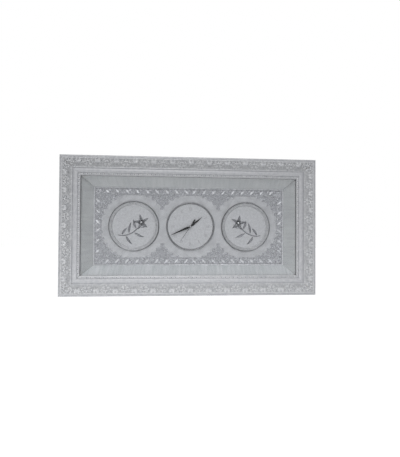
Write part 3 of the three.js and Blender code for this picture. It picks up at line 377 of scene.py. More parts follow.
def sampled(ends, step):
    """Points along a line or a curve pulled by its middle point, about a step apart."""
    rough = np.linalg.norm(np.diff(ends, axis=0), axis=1).sum()
    share = np.linspace(0, 1, max(2, round(rough / step) + 1))[:, None]
    if len(ends) == 2:
        return ends[0] + (ends[1] - ends[0]) * share
    return pulled(*ends, share)


def moulding_section():
    """The section's points as inset and level, with the bead share and the material of each."""
    points, beads = [], []
    for before, stretch in zip(SIDE_SHARES, SIDE_SHARES[1:]):
        ends = np.array([before[-1], *stretch]) * (MOULDING_WIDTH, MOULDING_DEPTH) + (0, BACK_LEVEL)
        points.append(sampled(ends, SIDE_STEP)[:-1])
        beads.append(np.zeros(len(points[-1])))
    for before, stretch in zip(FACE_SHARES, FACE_SHARES[1:]):
        ends = np.array([before[-1], *stretch]) * (MOULDING_WIDTH, -SIGHT_RECESS) + (0, RIDGE_LEVEL)
        beaded = stretch is FACE_SHARES[BEAD_STRETCH]
        run = sampled(ends, BEAD_STEP if beaded else FACE_STEP)
        swell = np.sin(math.pi * np.linspace(0, 1, len(run))) if beaded else np.zeros(len(run))
        points.append(run[:-1])
        beads.append(swell[:-1])
    rest = np.array([
        [MOULDING_WIDTH, RIDGE_LEVEL - SIGHT_RECESS],
        [MOULDING_WIDTH, LIP_LEVEL],
        [MOULDING_INNER, LIP_LEVEL],
        [MOULDING_INNER, BACK_LEVEL],
    ])
    painted = sum(len(run) for run in points)
    points.append(rest)
    beads.append(np.zeros(len(rest)))
    section = np.concatenate(points)
    slots = [PAINT if row <= painted else WOOD for row in range(len(section))]
    return section, np.concatenate(beads), slots


def outward(outline):
    """The direction to the left of a closed outline at each of its points."""
    return left_of(np.roll(outline, -1, axis=0) - np.roll(outline, 1, axis=0))


CELL_COLUMNS = 54
GROUND_DEPTH = 1.7
BEAD_PITCH = 14.0
BEAD_GAP = 2.0
BEAD_DEPTH = 1.4
# Where the painted shade along the sight edge starts, as an inset
SHADE_INSET = 65.5
# The painted shade in the carving's pits, as a relief value
PIT_RELIEF = 0.15
STROKE_HEIGHT = 3.2

# The rails counterclockwise, with the painted shade along their sight edge: darkest on the side rails,
# lighter on the top and lightest on the bottom, whose lip faces up to the light
RAILS = [("rail_top", 0.06), ("rail_left", 0.0), ("rail_bottom", 0.3), ("rail_right", 0.0)]


def held_at_mitre(values, inset, along):
    """Rows of values whose places beyond the mitres take the value on the mitre."""
    reach = along[-1] - inset
    return np.stack([
        np.interp(np.clip(along, -limit, limit), along, row) for limit, row in zip(reach, values)
    ])


def tiled(cell, cells):
    """A cell's rows repeated along a rail."""
    return np.concatenate([np.tile(cell[:, :-1], cells), cell[:, -1:]], axis=1)


def bead_gaps(along, length):
    """How deep each place along a rail lies in a gap between two beads, from 0 to 1."""
    bead_run = length - 2 * MOULDING_INNER
    pitch = bead_run / round(bead_run / BEAD_PITCH)
    from_gap = np.abs((along / pitch + bead_run / pitch / 2 + 0.5) % 1 - 0.5) * pitch
    return np.exp(-((from_gap / BEAD_GAP) ** 2))


def rail(name, number, shade, paint, wood):
    """One mitred rail with its carved band, its row of beads and the painted shade along its sight edge.
    """
    long, across = (FRAME_HEIGHT, FRAME_WIDTH) if number % 2 else (FRAME_WIDTH, FRAME_HEIGHT)
    cells = round(long / CELL)
    section, beads, slots = moulding_section()
    inset, level = section.T
    banded = (level > LIP_LEVEL) & (inset > BAND_START - 1) & (inset < BAND_START + BAND_WIDTH + 1)
    raised, ground = (tiled(part * banded[:, None], cells) for part in carved_cell(inset, CELL_COLUMNS))
    along = np.linspace(-long / 2, long / 2, cells * CELL_COLUMNS + 1)
    gaps = bead_gaps(along, long)
    depth = raised - GROUND_DEPTH * ground - BEAD_DEPTH * beads[:, None] * gaps
    depth = held_at_mitre(depth, inset, along)
    place = section[:, None, :] + depth[..., None] * outward(section)[:, None, :]
    reach = long / 2 - place[..., 0] - MITRE_GAP
    x = np.clip(along, -reach, reach)
    points = np.stack([x, across / 2 - place[..., 0], place[..., 1]], axis=-1)
    rows, columns = len(section), len(along)
    faces = [face[::-1] for face in grid_faces(rows, columns, closed_rows=True)]
    form = Form()
    form.add(turned(points, 90 * number).reshape(-1, 3), faces)
    form.slots = [slots[index // (columns - 1)] for index in range(len(faces))] + [WOOD, WOOD]
    form.faces.append([row * columns for row in range(rows)])
    form.faces.append([row * columns + columns - 1 for row in reversed(range(rows))])
    # Painted shade in the gaps between the beads
    high = 1 - BEAD_DEPTH * np.sqrt(beads)[:, None] * gaps
    # Painted shade along the sight edge, its darkness given for each rail
    high[inset > SHADE_INSET] = shade
    # Painted shade in the carving's pits, growing lighter with each stroke's height to a painted highlight
    carved = PIT_RELIEF + (1 - PIT_RELIEF) * raised / STROKE_HEIGHT
    relief = held_at_mitre(carved * ground + high * (1 - ground), inset, along)
    make_piece(
        f"{name}_carved", form, [paint, wood], replaced=[name], sharp=50,
        values=relief.ravel().astype(np.float32),
    )


# Rounded strands, which make the openwork, the sprays and the numerals


# Across in half widths, up in heights
STRAND_SECTION = [(-1, 0), (-0.8, 0.62), (0, 1), (0.8, 0.62), (1, 0)]
LEAF_SECTION = [(-1, 0), (-0.86, 0.5), (-0.4, 1), (0, 0.62), (0.4, 1), (0.86, 0.5), (1, 0)]
STRAND_LIFT = 0.02
LEAF_POINTS = 10


def strand(form, path, widths, heights, base, section=STRAND_SECTION):
    """A ribbon with a rounded or a veined section, lying on a level along a flat path."""
    path = np.asarray(path, float)
    side = left_of(np.gradient(path, axis=0))
    widths = np.broadcast_to(widths, len(path))
    heights = np.broadcast_to(heights, len(path))
    rows = []
    for across, up in section:
        rows.append(lifted(path + side * (across * widths)[:, None], base + STRAND_LIFT + up * heights))
    form.sweep(np.stack(rows, axis=1))


def leaf_strand(form, root, length, width, direction, height, base, bow=0.0, section=STRAND_SECTION):
    """A pointed leaf that curves to one side."""
    share = np.linspace(0, 1, LEAF_POINTS)
    angle = math.radians(direction) + math.radians(bow) * share
    path = np.asarray(root) + np.cumsum(polar(angle), axis=0) * (length / (LEAF_POINTS - 1))
    full = leaf_widths(LEAF_POINTS, 1, 0.8)
    strand(form, path, width / 2 * full, height * full**0.5, base, section)


# The openwork panel


STRAND_HALF = 0.95
BORDER_BARS = [(1.3, 1.3), (4.6, 0.6), (LACE_BORDER, 0.8)]
BARS_ROOM = 5.0
VINE_START = 0.6
VINE_HALF = 0.8
VINE_PITCH = 34.5
VINE_SWAY = 4.2
SCROLL_ROOM = 10.2
CIRCLE_LEAST = 1.9
CIRCLE_MOST = 8.2
SCROLL_LEAST = 4.2
SCALLOPS = 32
SCALLOP_START = -3.0
SCALLOP_RISE = 8.0
# The rise of the sheet of painted shade under the openwork, and the seam between its pieces
SHADE_SHEET_RISE = 0.12
SHADE_SHEET_SEAM = 0.01

# Along a pitch of the border: the place, the side, and a scroll's radius or a leaf's swing in degrees
BORDER_SCROLLS = [(0.68, 1, 6.2), (0.9, -1, 5.4), (0.45, -1, 4.4), (0.1, 1, 4.2)]
BORDER_LEAVES = [(0.6, -1, 30), (0.78, -1, 62), (0.35, 1, 150), (0.97, 1, 40)]


def lace_bar(form, inset, half):
    """A rounded bar that runs all round the panel, mitred at its corners."""
    across, up = np.array(STRAND_SECTION).T
    flat = np.stack([size / 2 - inset + across * half for size in (LACE_WIDTH, LACE_HEIGHT)], axis=1)
    level = PANEL_FACE + STRAND_LIFT + up * LACE_RISE
    form.sweep([lifted(flat * signs, level) for signs in CORNERS], closed=True)


def lace_strand(form, path, half=STRAND_HALF, rise=LACE_RISE):
    strand(form, path, half, rise, PANEL_FACE)


def lace_leaf(form, root, length, width, direction, section=STRAND_SECTION):
    leaf_strand(form, root, length, width, direction, LACE_RISE, PANEL_FACE, section=section)


def lace_border(form):
    """A quarter of the border: a vine with slanting leaves and scrolls, for x and y above 0."""
    middle = (LACE_BORDER - BARS_ROOM) / 2
    right, up = np.array([1, 0]), np.array([0, 1])
    runs = [
        (np.array([VINE_START, INNER_Y + middle]), right, up, INNER_X, 1),
        (np.array([INNER_X + middle, VINE_START]), up, right, INNER_Y, -1),
    ]
    for start, way, out, length, handed in runs:
        heading = math.degrees(math.atan2(way[1], way[0]))
        count = round(length / VINE_PITCH)
        pitch = length / count
        share = np.linspace(0, 1, 20 * count + 1)
        sway = VINE_SWAY * np.sin(2 * math.pi * count * share)
        vine = start + way * (share * length)[:, None] + out * sway[:, None]
        lace_strand(form, vine, VINE_HALF, 0.8 * LACE_RISE)
        for number in range(count):
            root = start + way * pitch * (number + 0.14) - out * 8.4
            lace_leaf(form, root, 23, 8.4, heading + handed * 48, LEAF_SECTION)
            for at, side, outer in BORDER_SCROLLS:
                eye = start + way * pitch * (number + at) + out * side * (SCROLL_ROOM - outer)
                way_round = handed * side
                lace_strand(form, spiral(eye, outer, 1.1, heading + way_round * 80, -way_round * 1.5))
            for at, side, swing in BORDER_LEAVES:
                root = start + way * pitch * (number + at) + out * side * 3
                lace_leaf(form, root, 7.5, 3.4, heading + handed * side * swing)
    for direction in range(0, 360, 45):
        root = polar(math.radians(direction), 1.5, (INNER_X + middle, INNER_Y + middle))
        lace_leaf(form, root, 8.5, 4.4, direction, LEAF_SECTION)


def packed_circles():
    """Circles that fill a quarter of the spandrels, largest first, as x, y and radius."""
    x, y = np.meshgrid(np.arange(0, INNER_X), np.arange(0, INNER_Y))
    free = np.minimum(np.minimum(INNER_X - x, INNER_Y - y) - 0.8, np.minimum(x, y) - 0.6)
    for centre in (0, DISC_SPACING):
        free = np.minimum(free, np.hypot(x - centre, y) - LACE_RING - SCALLOP_START - SCALLOP_RISE)
    circles = []
    while True:
        place = np.unravel_index(np.argmax(np.minimum(free, CIRCLE_MOST)), free.shape)
        radius = min(free[place], CIRCLE_MOST)
        if radius < CIRCLE_LEAST:
            return circles
        circles.append((x[place], y[place], radius))
        free = np.minimum(free, np.hypot(x - x[place], y - y[place]) - radius - 0.2)


def scalloped(angle):
    """The radius of a field's scalloped edge."""
    return LACE_RING + SCALLOP_START + SCALLOP_RISE * np.abs(np.sin(angle * SCALLOPS / 2))


def field_shade_sheet(centre, low, high):
    """The sheet of painted shade round one field, between two places across the panel."""
    half_y = LACE_HEIGHT / 2
    corners = [math.atan2(y, x - centre) for x in (low, high) for y in (-half_y, half_y)]
    angle = np.sort(np.append(np.linspace(-math.pi, math.pi, 20 * SCALLOPS + 1), corners))
    cos, sin = np.cos(angle), np.maximum(np.abs(np.sin(angle)), 1e-9)
    side = np.where(cos > 0, high - centre, centre - low) / np.maximum(np.abs(cos), 1e-9)
    beyond = np.minimum(side, half_y / sin)
    border = np.minimum((INNER_X - centre) / np.maximum(cos, 1e-9), INNER_Y / sin)
    within = np.minimum(border, scalloped(angle))
    form = Form()
    for run in stretches(beyond - within > 0.05):
        near, far = within[run], beyond[run]
        rows = []
        for reach, up in ((near, 0), (far, 0), (far, SHADE_SHEET_RISE), (near, SHADE_SHEET_RISE)):
            rows.append(lifted(polar(angle[run], reach, (centre, 0)), PANEL_FACE + STRAND_LIFT + up))
        form.sweep(np.stack(rows, axis=1))
    return form


def lace_shade_sheet():
    """A thin darker sheet under the strands, painted shade in the openings, open round the three fields
    and as far as the border.
    """
    joint = DISC_SPACING / 2
    ground = field_shade_sheet(0, SHADE_SHEET_SEAM - joint, joint - SHADE_SHEET_SEAM)
    end = field_shade_sheet(DISC_SPACING, joint + SHADE_SHEET_SEAM, LACE_WIDTH / 2)
    ground.join(end)
    ground.join(end.mirrored(-1, 1))
    ground.paint(1)
    return ground


def lace_spandrels(form):
    """A quarter of the spandrels: packed scrolls, small leaves and a scalloped edge round the fields."""
    middle = DISC_SPACING / 2
    for number, (x, y, radius) in enumerate(packed_circles()):
        away = math.degrees(math.atan2(y, x - (DISC_SPACING if x > middle else 0)))
        handed = (-1) ** number
        if radius > SCROLL_LEAST:
            lace_strand(form, spiral((x, y), radius - 0.7, 1.0, away + 180, handed * 1.6, 26))
            for swing in (50, 140, 230):
                root = polar(math.radians(away + handed * swing), radius - 1.5, (x, y))
                lace_leaf(form, root, 5.5, 2.8, away + handed * (swing + 60))
        else:
            for direction in (0, 120, 240):
                lace_leaf(form, (x, y), radius + 0.8, radius * 0.7, away + direction)
    angle = np.linspace(0, math.pi, 20 * SCALLOPS + 1)
    for centre in (0, DISC_SPACING):
        edge = polar(angle, scalloped(angle) + 0.9, (centre, 0))
        x, y = edge.T
        own = x < middle - 1 if centre == 0 else x > middle + 1
        for run in stretches(own & (x > 1) & (x < INNER_X) & (y > 1) & (y < INNER_Y)):
            if len(run) > 2:
                lace_strand(form, edge[run], 1.1)


def lace_panel(metal, ground):
    """The openwork with a darker sheet of painted shade under it, from one quarter and its mirror images.
    """
    quarter = Form()
    lace_border(quarter)
    lace_spandrels(quarter)
    form = Form()
    for inset, half in BORDER_BARS:
        lace_bar(form, inset, half)
    for x_sign in (1, -1):
        for y_sign in (1, -1):
            form.join(quarter.mirrored(x_sign, y_sign))
    form.join(lace_shade_sheet())
    make_piece("lace_openwork", form, [metal, ground], replaced=["lace_panel"], sharp=60)


# Rings, hands and sprays


EASED_SHARE = 0.3


def lathe(form, profile, centre, segments, slots=None, closed=True):
    """A profile of radius and level turned round a centre. An open one starts and ends on the axis."""
    profile = np.asarray(profile, float)
    flat = polar(np.linspace(0, 2 * math.pi, segments, endpoint=False), profile[:, :1], centre)
    level = np.broadcast_to(profile[:, 1:], flat.shape[:2])
    form.sweep(np.concatenate([flat, level[..., None]], axis=-1), closed=closed)
    if slots:
        form.slots[-len(profile) * segments:] = np.repeat(slots, segments).tolist()


def rounded(corners, steps=4):
    """A polyline with its inner corners eased."""
    corners = np.asarray(corners, float)
    points = [corners[0]]
    for before, corner, after in zip(corners, corners[1:], corners[2:]):
        start = corner + (before - corner) * EASED_SHARE
        end = corner + (after - corner) * EASED_SHARE
        for share in np.linspace(0, 1, steps):
            points.append(pulled(start, corner, end, share))
    points.append(corners[-1])
    return np.array(points)


# The rings' sections in shares of their rim and rise, with a material slot for each point
MEDALLION_SECTION = [
    (0.41, 0), (1, 0), (1, 0.5), (0.97, 0.78), (0.88, 0.97), (0.78, 0.93), (0.7, 0.74), (0.62, 0.7),
    (0.46, 0.69), (0.3, 0.64), (0.18, 0.6), (0.1, 0.66), (-0.02, 0.64), (-0.13, 0.54), (-0.17, 0.33),
    (0.41, 0.33),
]
MEDALLION_SLOTS = [0] * 6 + [1] * 10
DIAL_SECTION = [
    (0.6, 0), (1, 0), (1, 0.6), (0.93, 0.88), (0.72, 0.97), (0.5, 0.88), (0.2, 0.66), (0, 0.5), (0, 0.39),
    (0.6, 0.39),
]


def ring(name, x, size, section, materials, slots=None):
    """A turned ring, from a section in shares of its rim and its rise."""
    radius, rim, rise = size
    profile = np.array(section) * (rim, rise) + (radius - rim, PANEL_FACE)
    form = Form()
    lathe(form, profile, (x, 0), 192, slots)
    make_piece(f"{name}_turned", form, materials, replaced=[name], sharp=40)


HAND_EDGE = 0.3
HAND_RIDGE = 0.45
RIDGE_HALF = 1.5
HUB_RISE = 0.2

# Blades as places along the hand, in shares of its reach, with the half width there
SWORD = [
    (0.035, 1.7), (0.08, 2.2), (0.13, 3.6), (0.17, 4.1), (0.22, 4.0), (0.3, 3.5), (0.45, 2.8), (0.62, 2.2),
    (0.8, 1.5), (0.97, 0.45), (1, 0.08),
]
NEEDLE = [(-30.1, 0.6), (-28.6, 2.3), (-15, 2.5), (-13, 0.8), (0, 0.8), (38, 0.6), (64, 0.2)]

# The hands' blade and its reach, the level of their back, the radii of hub and bore, and their angle
HANDS = [
    ("hour", SWORD, 52.96, 33.4, 4.4, 2.7, 51),
    ("minute", SWORD, 76.95, 35.9, 3.9, 1.4, 246),
    ("second", NEEDLE, 1, 38.4, 3.2, 0.6, 214),
]
BOSS_PROFILE = [(0, 39.15), (3.2, 39.15), (3.2, 40.1), (2.2, 40.8), (0, 40.9)]


def hand(name, blade, reach, base, hub, bore, angle, material):
    """A blade with a ridge along its middle and a flat hub, turned clockwise to its place."""
    form = Form()
    rows = []
    edge = base + HAND_EDGE
    for share, half in blade:
        y = share * reach
        crest = edge + HAND_RIDGE * min(1, half / RIDGE_HALF)
        rows.append([(-half, y, base), (half, y, base), (half, y, edge), (0, y, crest), (-half, y, edge)])
    form.sweep(rows)
    top = edge + HUB_RISE
    bevelled = [(hub - 0.3, top), (hub, top - 0.25)]
    lathe(form, [(bore, base), (bore, top), *bevelled, (hub, base)], (0, 0), 64)
    clockwise(form, angle)
    make_piece(f"{name}_hand_bevelled", form, [material], name, [f"{name}_hand"], 20)


def hands(black, metal):
    for values in HANDS:
        hand(*values, black)
    boss = Form()
    lathe(boss, rounded(BOSS_PROFILE), (0, 0), 64, closed=False)
    make_piece("second_hand_boss", boss, [metal], "second")


SPRAY_SIZE = 118.0
SPRAY_STEM = [(-0.46, -0.26), (-0.2, -0.34), (0.1, -0.16), (0.22, 0.12)]

# Leaves as place along the stem, swing in degrees and length in shares of the spray's size
STEM_LEAVES = [
    (0.12, 60, 0.22), (0.27, -66, 0.25), (0.4, 60, 0.28), (0.58, -62, 0.27), (0.72, 64, 0.23),
    (0.86, -58, 0.15),
]

# Rows of petals as the first one's turn, length in shares of the spray's size, width and height
PETALS = 5
PETAL_ROWS = [(12, 0.215, 8.8, 2.8), (48, 0.1, 3.6, 3.5)]
BUD_PROFILE = [(0, 0), (3.8, 0), (3.8, 3.4), (2.2, 4.4), (0, 4.6)]


def bezier(points, count):
    a, b, c, d = np.asarray(points, float)
    t = np.linspace(0, 1, count)[:, None]
    return (1 - t) ** 3 * a + 3 * t * (1 - t) ** 2 * b + 3 * t**2 * (1 - t) * c + t**3 * d


def spray(name, x, mirror, dark, bright):
    """A raised spray: a bowed stem, curving leaves and an open bloom of two rows of petals."""
    form = Form()
    stem = bezier(np.array(SPRAY_STEM) * (mirror * SPRAY_SIZE, SPRAY_SIZE) + (x, 0), 41)
    strand(form, stem, np.linspace(1.0, 2.0, len(stem)), 2.2, DISC_FACE)
    headings = np.degrees(np.arctan2(*np.gradient(stem, axis=0).T[::-1]))
    for at, swing, length in STEM_LEAVES:
        index = round(at * (len(stem) - 1))
        direction = headings[index] + mirror * swing * 1.2
        long = 1.2 * length * SPRAY_SIZE
        bow = -mirror * 0.45 * swing
        leaf_strand(form, stem[index], long, 8.2, direction, 2.4, DISC_FACE, bow, LEAF_SECTION)
    bloom = stem[-1]
    for first, length, width, height in PETAL_ROWS:
        for number in range(PETALS):
            direction = 90 + mirror * (first + 360 / PETALS * number)
            long = length * SPRAY_SIZE
            leaf_strand(form, bloom, long, width, direction, height, DISC_FACE, 0, LEAF_SECTION)
    bud = Form()
    lathe(bud, rounded(BUD_PROFILE) + (0, DISC_FACE + STRAND_LIFT), bloom, 32, closed=False)
    bud.paint(1)
    form.join(bud)
    make_piece(f"{name}_modelled", form, [dark, bright], replaced=[name], sharp=60)


ROMAN = {
    "I": [((0, 0), (0, 1))],
    "V": [((-0.3, 1), (0, 0)), ((0.3, 1), (0, 0))],
    "X": [((-0.3, 0), (0.3, 1)), ((-0.3, 1), (0.3, 0))],
}
ROMAN_WIDTH = {"I": 0.34, "V": 0.78, "X": 0.78}
HOURS = ["XII", "I", "II", "III", "IIII", "V", "VI", "VII", "VIII", "IX", "X", "XI"]
NUMERAL_RADIUS = 62.0
NUMERAL_HEIGHT = 12.5
NUMERAL_SQUEEZE = 0.62
NUMERAL_HALF = 0.62
MARK_RADIUS = 74.5

# Marks as length and half width
HOUR_MARK = (3.4, 0.55)
MINUTE_MARK = (2.0, 0.32)


def dial_marks(material):
    """Plain raised numerals and minute marks, a little darker than the dial."""
    form = Form()
    for hour, text in enumerate(HOURS):
        numeral = Form()
        at = -sum(ROMAN_WIDTH[letter] for letter in text) / 2
        for letter in text:
            middle = at + ROMAN_WIDTH[letter] / 2
            for line in ROMAN[letter]:
                ends = np.array(line) * (NUMERAL_SQUEEZE, 1) * NUMERAL_HEIGHT
                ends += (NUMERAL_SQUEEZE * NUMERAL_HEIGHT * middle, NUMERAL_RADIUS - NUMERAL_HEIGHT / 2)
                strand(numeral, np.linspace(*ends, 3), NUMERAL_HALF, 0.3, DISC_FACE)
            at += ROMAN_WIDTH[letter]
        form.join(clockwise(numeral, 30 * hour))
    for minute in range(60):
        mark = Form()
        length, half = HOUR_MARK if minute % 5 == 0 else MINUTE_MARK
        strand(mark, np.linspace((0, MARK_RADIUS - length), (0, MARK_RADIUS), 3), half, 0.25, DISC_FACE)
        form.join(clockwise(mark, 6 * minute))
    make_piece("dial_marks", form, [material])


# The hardware of the back


HEAD_RADIUS = 3.2
HEAD_SHARES = [0.12, 0.13, 0.2, 0.45, 0.7, 0.88, 0.97, 1]
HEAD_RIM = 0.5
HEAD_DOME = 0.6
SLOT_DEPTH = 0.6
SLOT_FLOOR = 0.2
SHAFT_RADIUS = 1.4
SHAFT_LEVEL = 12.0
TIP_LEVEL = 13.8
HANGER_X = 300.0
HANGER_TOP = 207.2
HANGER_SCREW = 197.2
HANGER_NECK = 3.2
RING_LEVEL = 2.2
BUTTON_X = 220.0
BUTTON_Y = 179.0
BUTTON_RADIUS = 5.0
BUTTON_BEVEL = 0.4
BUTTON_REACH = 16.0
BUTTON_HOLE = 1.7
PIVOT_NECK = 2.5
BUMPER_X = 397.7
BUMPER_Y = -197.7
BUMPER_PROFILE = [(0, 0), (5.2, 0), (6, 1.6), (6, 4), (0, 4)]


def screw(name, centre, neck, degrees, material, replaced=()):
    """A slotted screw whose domed head stands towards the wall from its neck, with its shaft."""
    form = Form()
    across = np.linspace(-1, 1, 17)
    rows = []
    for share in [-share for share in HEAD_SHARES[::-1]] + HEAD_SHARES:
        y = across * math.sqrt(1 - share**2) * HEAD_RADIUS
        dome = HEAD_RIM + HEAD_DOME * np.sqrt(np.maximum(0, 1 - (share**2 + (y / HEAD_RADIUS) ** 2)))
        if abs(share) <= HEAD_SHARES[0]:
            dome = np.maximum(dome - SLOT_DEPTH, SLOT_FLOOR)
        flat = np.column_stack([np.full(len(y), share * HEAD_RADIUS), y])
        rows.append(np.concatenate([lifted(flat, neck - dome), lifted(flat, neck)[::-1]]))
    form.sweep(rows)
    shaft = [(0, neck), (SHAFT_RADIUS, neck), (SHAFT_RADIUS, SHAFT_LEVEL), (0, TIP_LEVEL)]
    lathe(form, shaft, (0, 0), 24, closed=False)
    form.points = [turned(points, degrees) + (*centre, 0) for points in form.points]
    make_piece(name, form, [material], replaced=replaced)


def bend(start, corner, end, count=6):
    """Points on a curve that the corner between its ends pulls."""
    return pulled(*np.array([start, corner, end]), np.linspace(0, 1, count)[:, None])


def hanger_ring(side, x, material):
    """A ring of round wire with a straight side, bent as the strap's loop holds it."""
    half = np.concatenate([
        [(0, 0), (8.5, 0)],
        bend((10, 0), (11, 0), (11, -2)),
        bend((11, -8), (11, -18), (1, -18), 12),
    ])
    middle = np.concatenate([half, (half * (-1, 1))[-1:0:-1]]) + (x, HANGER_TOP)
    angle = np.linspace(0, 2 * math.pi, 16, endpoint=False)
    aside = np.cos(angle)[:, None]
    level = RING_LEVEL + np.sin(angle)
    form = Form()
    form.sweep([lifted(at - aside * way, level) for at, way in zip(middle, outward(middle))], closed=True)
    name = f"hanger_ring_{side}"
    make_piece(f"{name}_wire", form, [material], f"ring_{side}", [name], sharp=60)


def turn_button(name, x, y, material):
    """A stamped plate with round ends, turned on a screw near one end."""
    way = -math.copysign(1, y)
    angle = np.linspace(0, 2 * math.pi, 64, endpoint=False)
    shift = np.where(np.sin(angle) * way > 0, BUTTON_REACH * way, 0)
    wide = polar(angle, BUTTON_RADIUS, (x, y + shift))
    narrow = polar(angle, BUTTON_RADIUS - BUTTON_BEVEL, (x, y + shift))
    towards = wide - (x, y)
    hole = towards / np.linalg.norm(towards, axis=1, keepdims=True) * BUTTON_HOLE + (x, y)
    outlines = [(hole, 3.9), (narrow, 3.9), (wide, 3.6), (wide, 2.9), (narrow, 2.6), (hole, 2.6)]
    form = Form()
    form.sweep([lifted(flat, level) for flat, level in outlines], closed=True)
    node_name = f"turn_button_{name}"
    make_piece(f"{node_name}_stamped", form, [material], f"button_{name}", [node_name])


def back_hardware(materials):
    """The hangers, turn buttons and bumpers. Each screw's slot has a turn of its own."""
    for side, x in (("left", -HANGER_X), ("right", HANGER_X)):
        hanger_ring(side, x, materials["steel"])
        name = f"hanger_screw_{side}"
        screw(f"{name}_slotted", (x, HANGER_SCREW), HANGER_NECK, 0.2 * x, materials["steel"], [name])
    for level, y in (("top", BUTTON_Y), ("bottom", -BUTTON_Y)):
        for side, x in (("left", -BUTTON_X), ("right", BUTTON_X)):
            turn_button(f"{level}_{side}", x, y, materials["brass"])
            screw(f"pivot_screw_{level}_{side}", (x, y), PIVOT_NECK, x + 0.3 * y, materials["steel"])
    for side, x in (("left", -BUMPER_X), ("right", BUMPER_X)):
        form = Form()
        lathe(form, rounded(BUMPER_PROFILE, 5), (x, BUMPER_Y), 64, closed=False)
        name = f"bumper_{side}"
        make_piece(f"{name}_moulded", form, [materials["rubber"]], replaced=[name])


# Materials


SLEEVE_BLUE = (52, 84, 138)
SLEEVE_SCALE = 0.05


def rgba(colour):
    """A colour of three sRGB values from 0 to 255, or a linear grey given as one number."""
    if isinstance(colour, (int, float)):
        return (colour, colour, colour, 1.0)
    values = np.array(colour, float) / 255
    values = np.where(values <= 0.04045, values / 12.92, ((values + 0.055) / 1.055) ** 2.4)
    return (*values.tolist(), 1.0)


def surface(name, roughness, metallic=0.0, **sockets):
    """A material with its Principled shader, whose colour the caller sets."""
    material = bpy.data.materials.new(name)
    material.use_nodes = True
    shader = material.node_tree.nodes["Principled BSDF"]
    shader.inputs["Roughness"].default_value = roughness
    shader.inputs["Metallic"].default_value = metallic
    for socket, value in sockets.items():
        shader.inputs[socket.replace("_", " ")].default_value = value
    return material


def node(owner, kind, **settings):
    """A new node of a material or the world, with its sockets or properties set by name."""
    made = owner.node_tree.nodes.new(kind)
    for key, value in settings.items():
        if key in made.inputs:
            made.inputs[key].default_value = value
        else:
            setattr(made, key, value)
    return made


def link(owner, output, target):
    owner.node_tree.links.new(output, target)


def maths(owner, operation, first, second=0.0):
    """A Math node on two values, each a number or another node's output."""
    made = node(owner, "ShaderNodeMath", operation=operation)
    for socket, value in zip(made.inputs, (first, second)):
        if hasattr(value, "node"):
            link(owner, value, socket)
        else:
            socket.default_value = value
    return made.outputs[0]


def noise(material, size, stretch=(1, 1, 1), detail=3.0, roughness=0.55):
    """Noise with features of about a size in millimetres, longer along the axes with a higher stretch."""
    place = node(material, "ShaderNodeTexCoord")
    mapping = node(material, "ShaderNodeMapping")
    mapping.inputs["Scale"].default_value = [1 / (size * MM * value) for value in stretch]
    link(material, place.outputs["Object"], mapping.inputs["Vector"])
    made = node(material, "ShaderNodeTexNoise", Scale=1.0, Detail=detail, Roughness=roughness)
    link(material, mapping.outputs["Vector"], made.inputs["Vector"])
    return made.outputs["Fac"]


def ramp(material, value, *stops):
    """A value turned into colours or greys at the given stops."""
    made = node(material, "ShaderNodeValToRGB")
    elements = made.color_ramp.elements
    while len(elements) < len(stops):
        elements.new(0.5)
    for element, (at, colour) in zip(elements, stops):
        element.position = at
        element.color = rgba(colour)
    link(material, value, made.inputs["Fac"])
    return made.outputs["Color"]


def multiplied(material, first, second):
    """Two colours multiplied."""
    made = node(material, "ShaderNodeMix", data_type="RGBA", blend_type="MULTIPLY")
    made.inputs["Factor"].default_value = 1.0
    link(material, first, made.inputs[6])
    link(material, second, made.inputs[7])
    return made.outputs[2]


def feed(material, socket, output):
    """Links an output to a socket of the material's Principled shader."""
    link(material, output, material.node_tree.nodes["Principled BSDF"].inputs[socket])


def set_bump(material, value, depth):
    """Bumps of a depth in millimetres."""
    bump = node(material, "ShaderNodeBump", Strength=1.0, Distance=depth * MM)
    link(material, value, bump.inputs["Height"])
    feed(material, "Normal", bump.outputs["Normal"])


def plain(name, dark, light, size, roughness, metallic=0.0, stretch=(1, 1, 1), depth=0.02, **sockets):
    """A material whose colour varies between two colours in patches, with a fine texture."""
    material = surface(name, roughness, metallic, **sockets)
    patches = noise(material, size, stretch)
    feed(material, "Base Color", ramp(material, patches, (0.35, dark), (0.65, light)))
    set_bump(material, noise(material, size / 4, stretch), depth)
    return material


def pearl_paint():
    """Pearl-white paint over carving, with painted shade greying the hollows, the bead gaps and the sight
    edge, and a painted highlight on the high points.
    """
    shine = {"Coat_Weight": 0.1, "Coat_Roughness": 0.2, "Specular_IOR_Level": 0.3}
    material = surface("pearl_paint", 0.36, 0.1, **shine)
    relief = node(material, "ShaderNodeAttribute", attribute_name="relief").outputs["Fac"]
    # Painted shade at low relief values, a painted highlight near 0.85 on the high strokes, and the smooth
    # bands' plain paint at 1
    shade_and_highlight_by_height = ramp(
        material, relief,
        (0.0, (108, 109, 111)), (0.12, (158, 159, 161)), (0.4, (174, 175, 177)), (0.85, (197, 198, 200)),
        (1.0, (173, 174, 177)),
    )
    cloud = ramp(material, noise(material, 9, detail=4), (0.35, (234, 235, 237)), (0.65, (255, 255, 255)))
    feed(material, "Base Color", multiplied(material, shade_and_highlight_by_height, cloud))
    worn = ramp(material, relief, (0.2, 0.5), (0.85, 0.28), (1.0, 0.45))
    mottle = ramp(material, noise(material, 4), (0.3, 0.8), (0.7, 1.0))
    feed(material, "Roughness", multiplied(material, worn, mottle))
    set_bump(material, noise(material, 1.1, detail=2), 0.05)
    return material


def raw_wood(name, stretch):
    material = surface(name, 0.75)
    grain = noise(material, 2.2, stretch, detail=5, roughness=0.65)
    tone = ramp(material, grain, (0.3, (150, 112, 72)), (0.5, (186, 148, 102)), (0.7, (206, 172, 126)))
    feed(material, "Base Color", tone)
    set_bump(material, grain, 0.15)
    return material


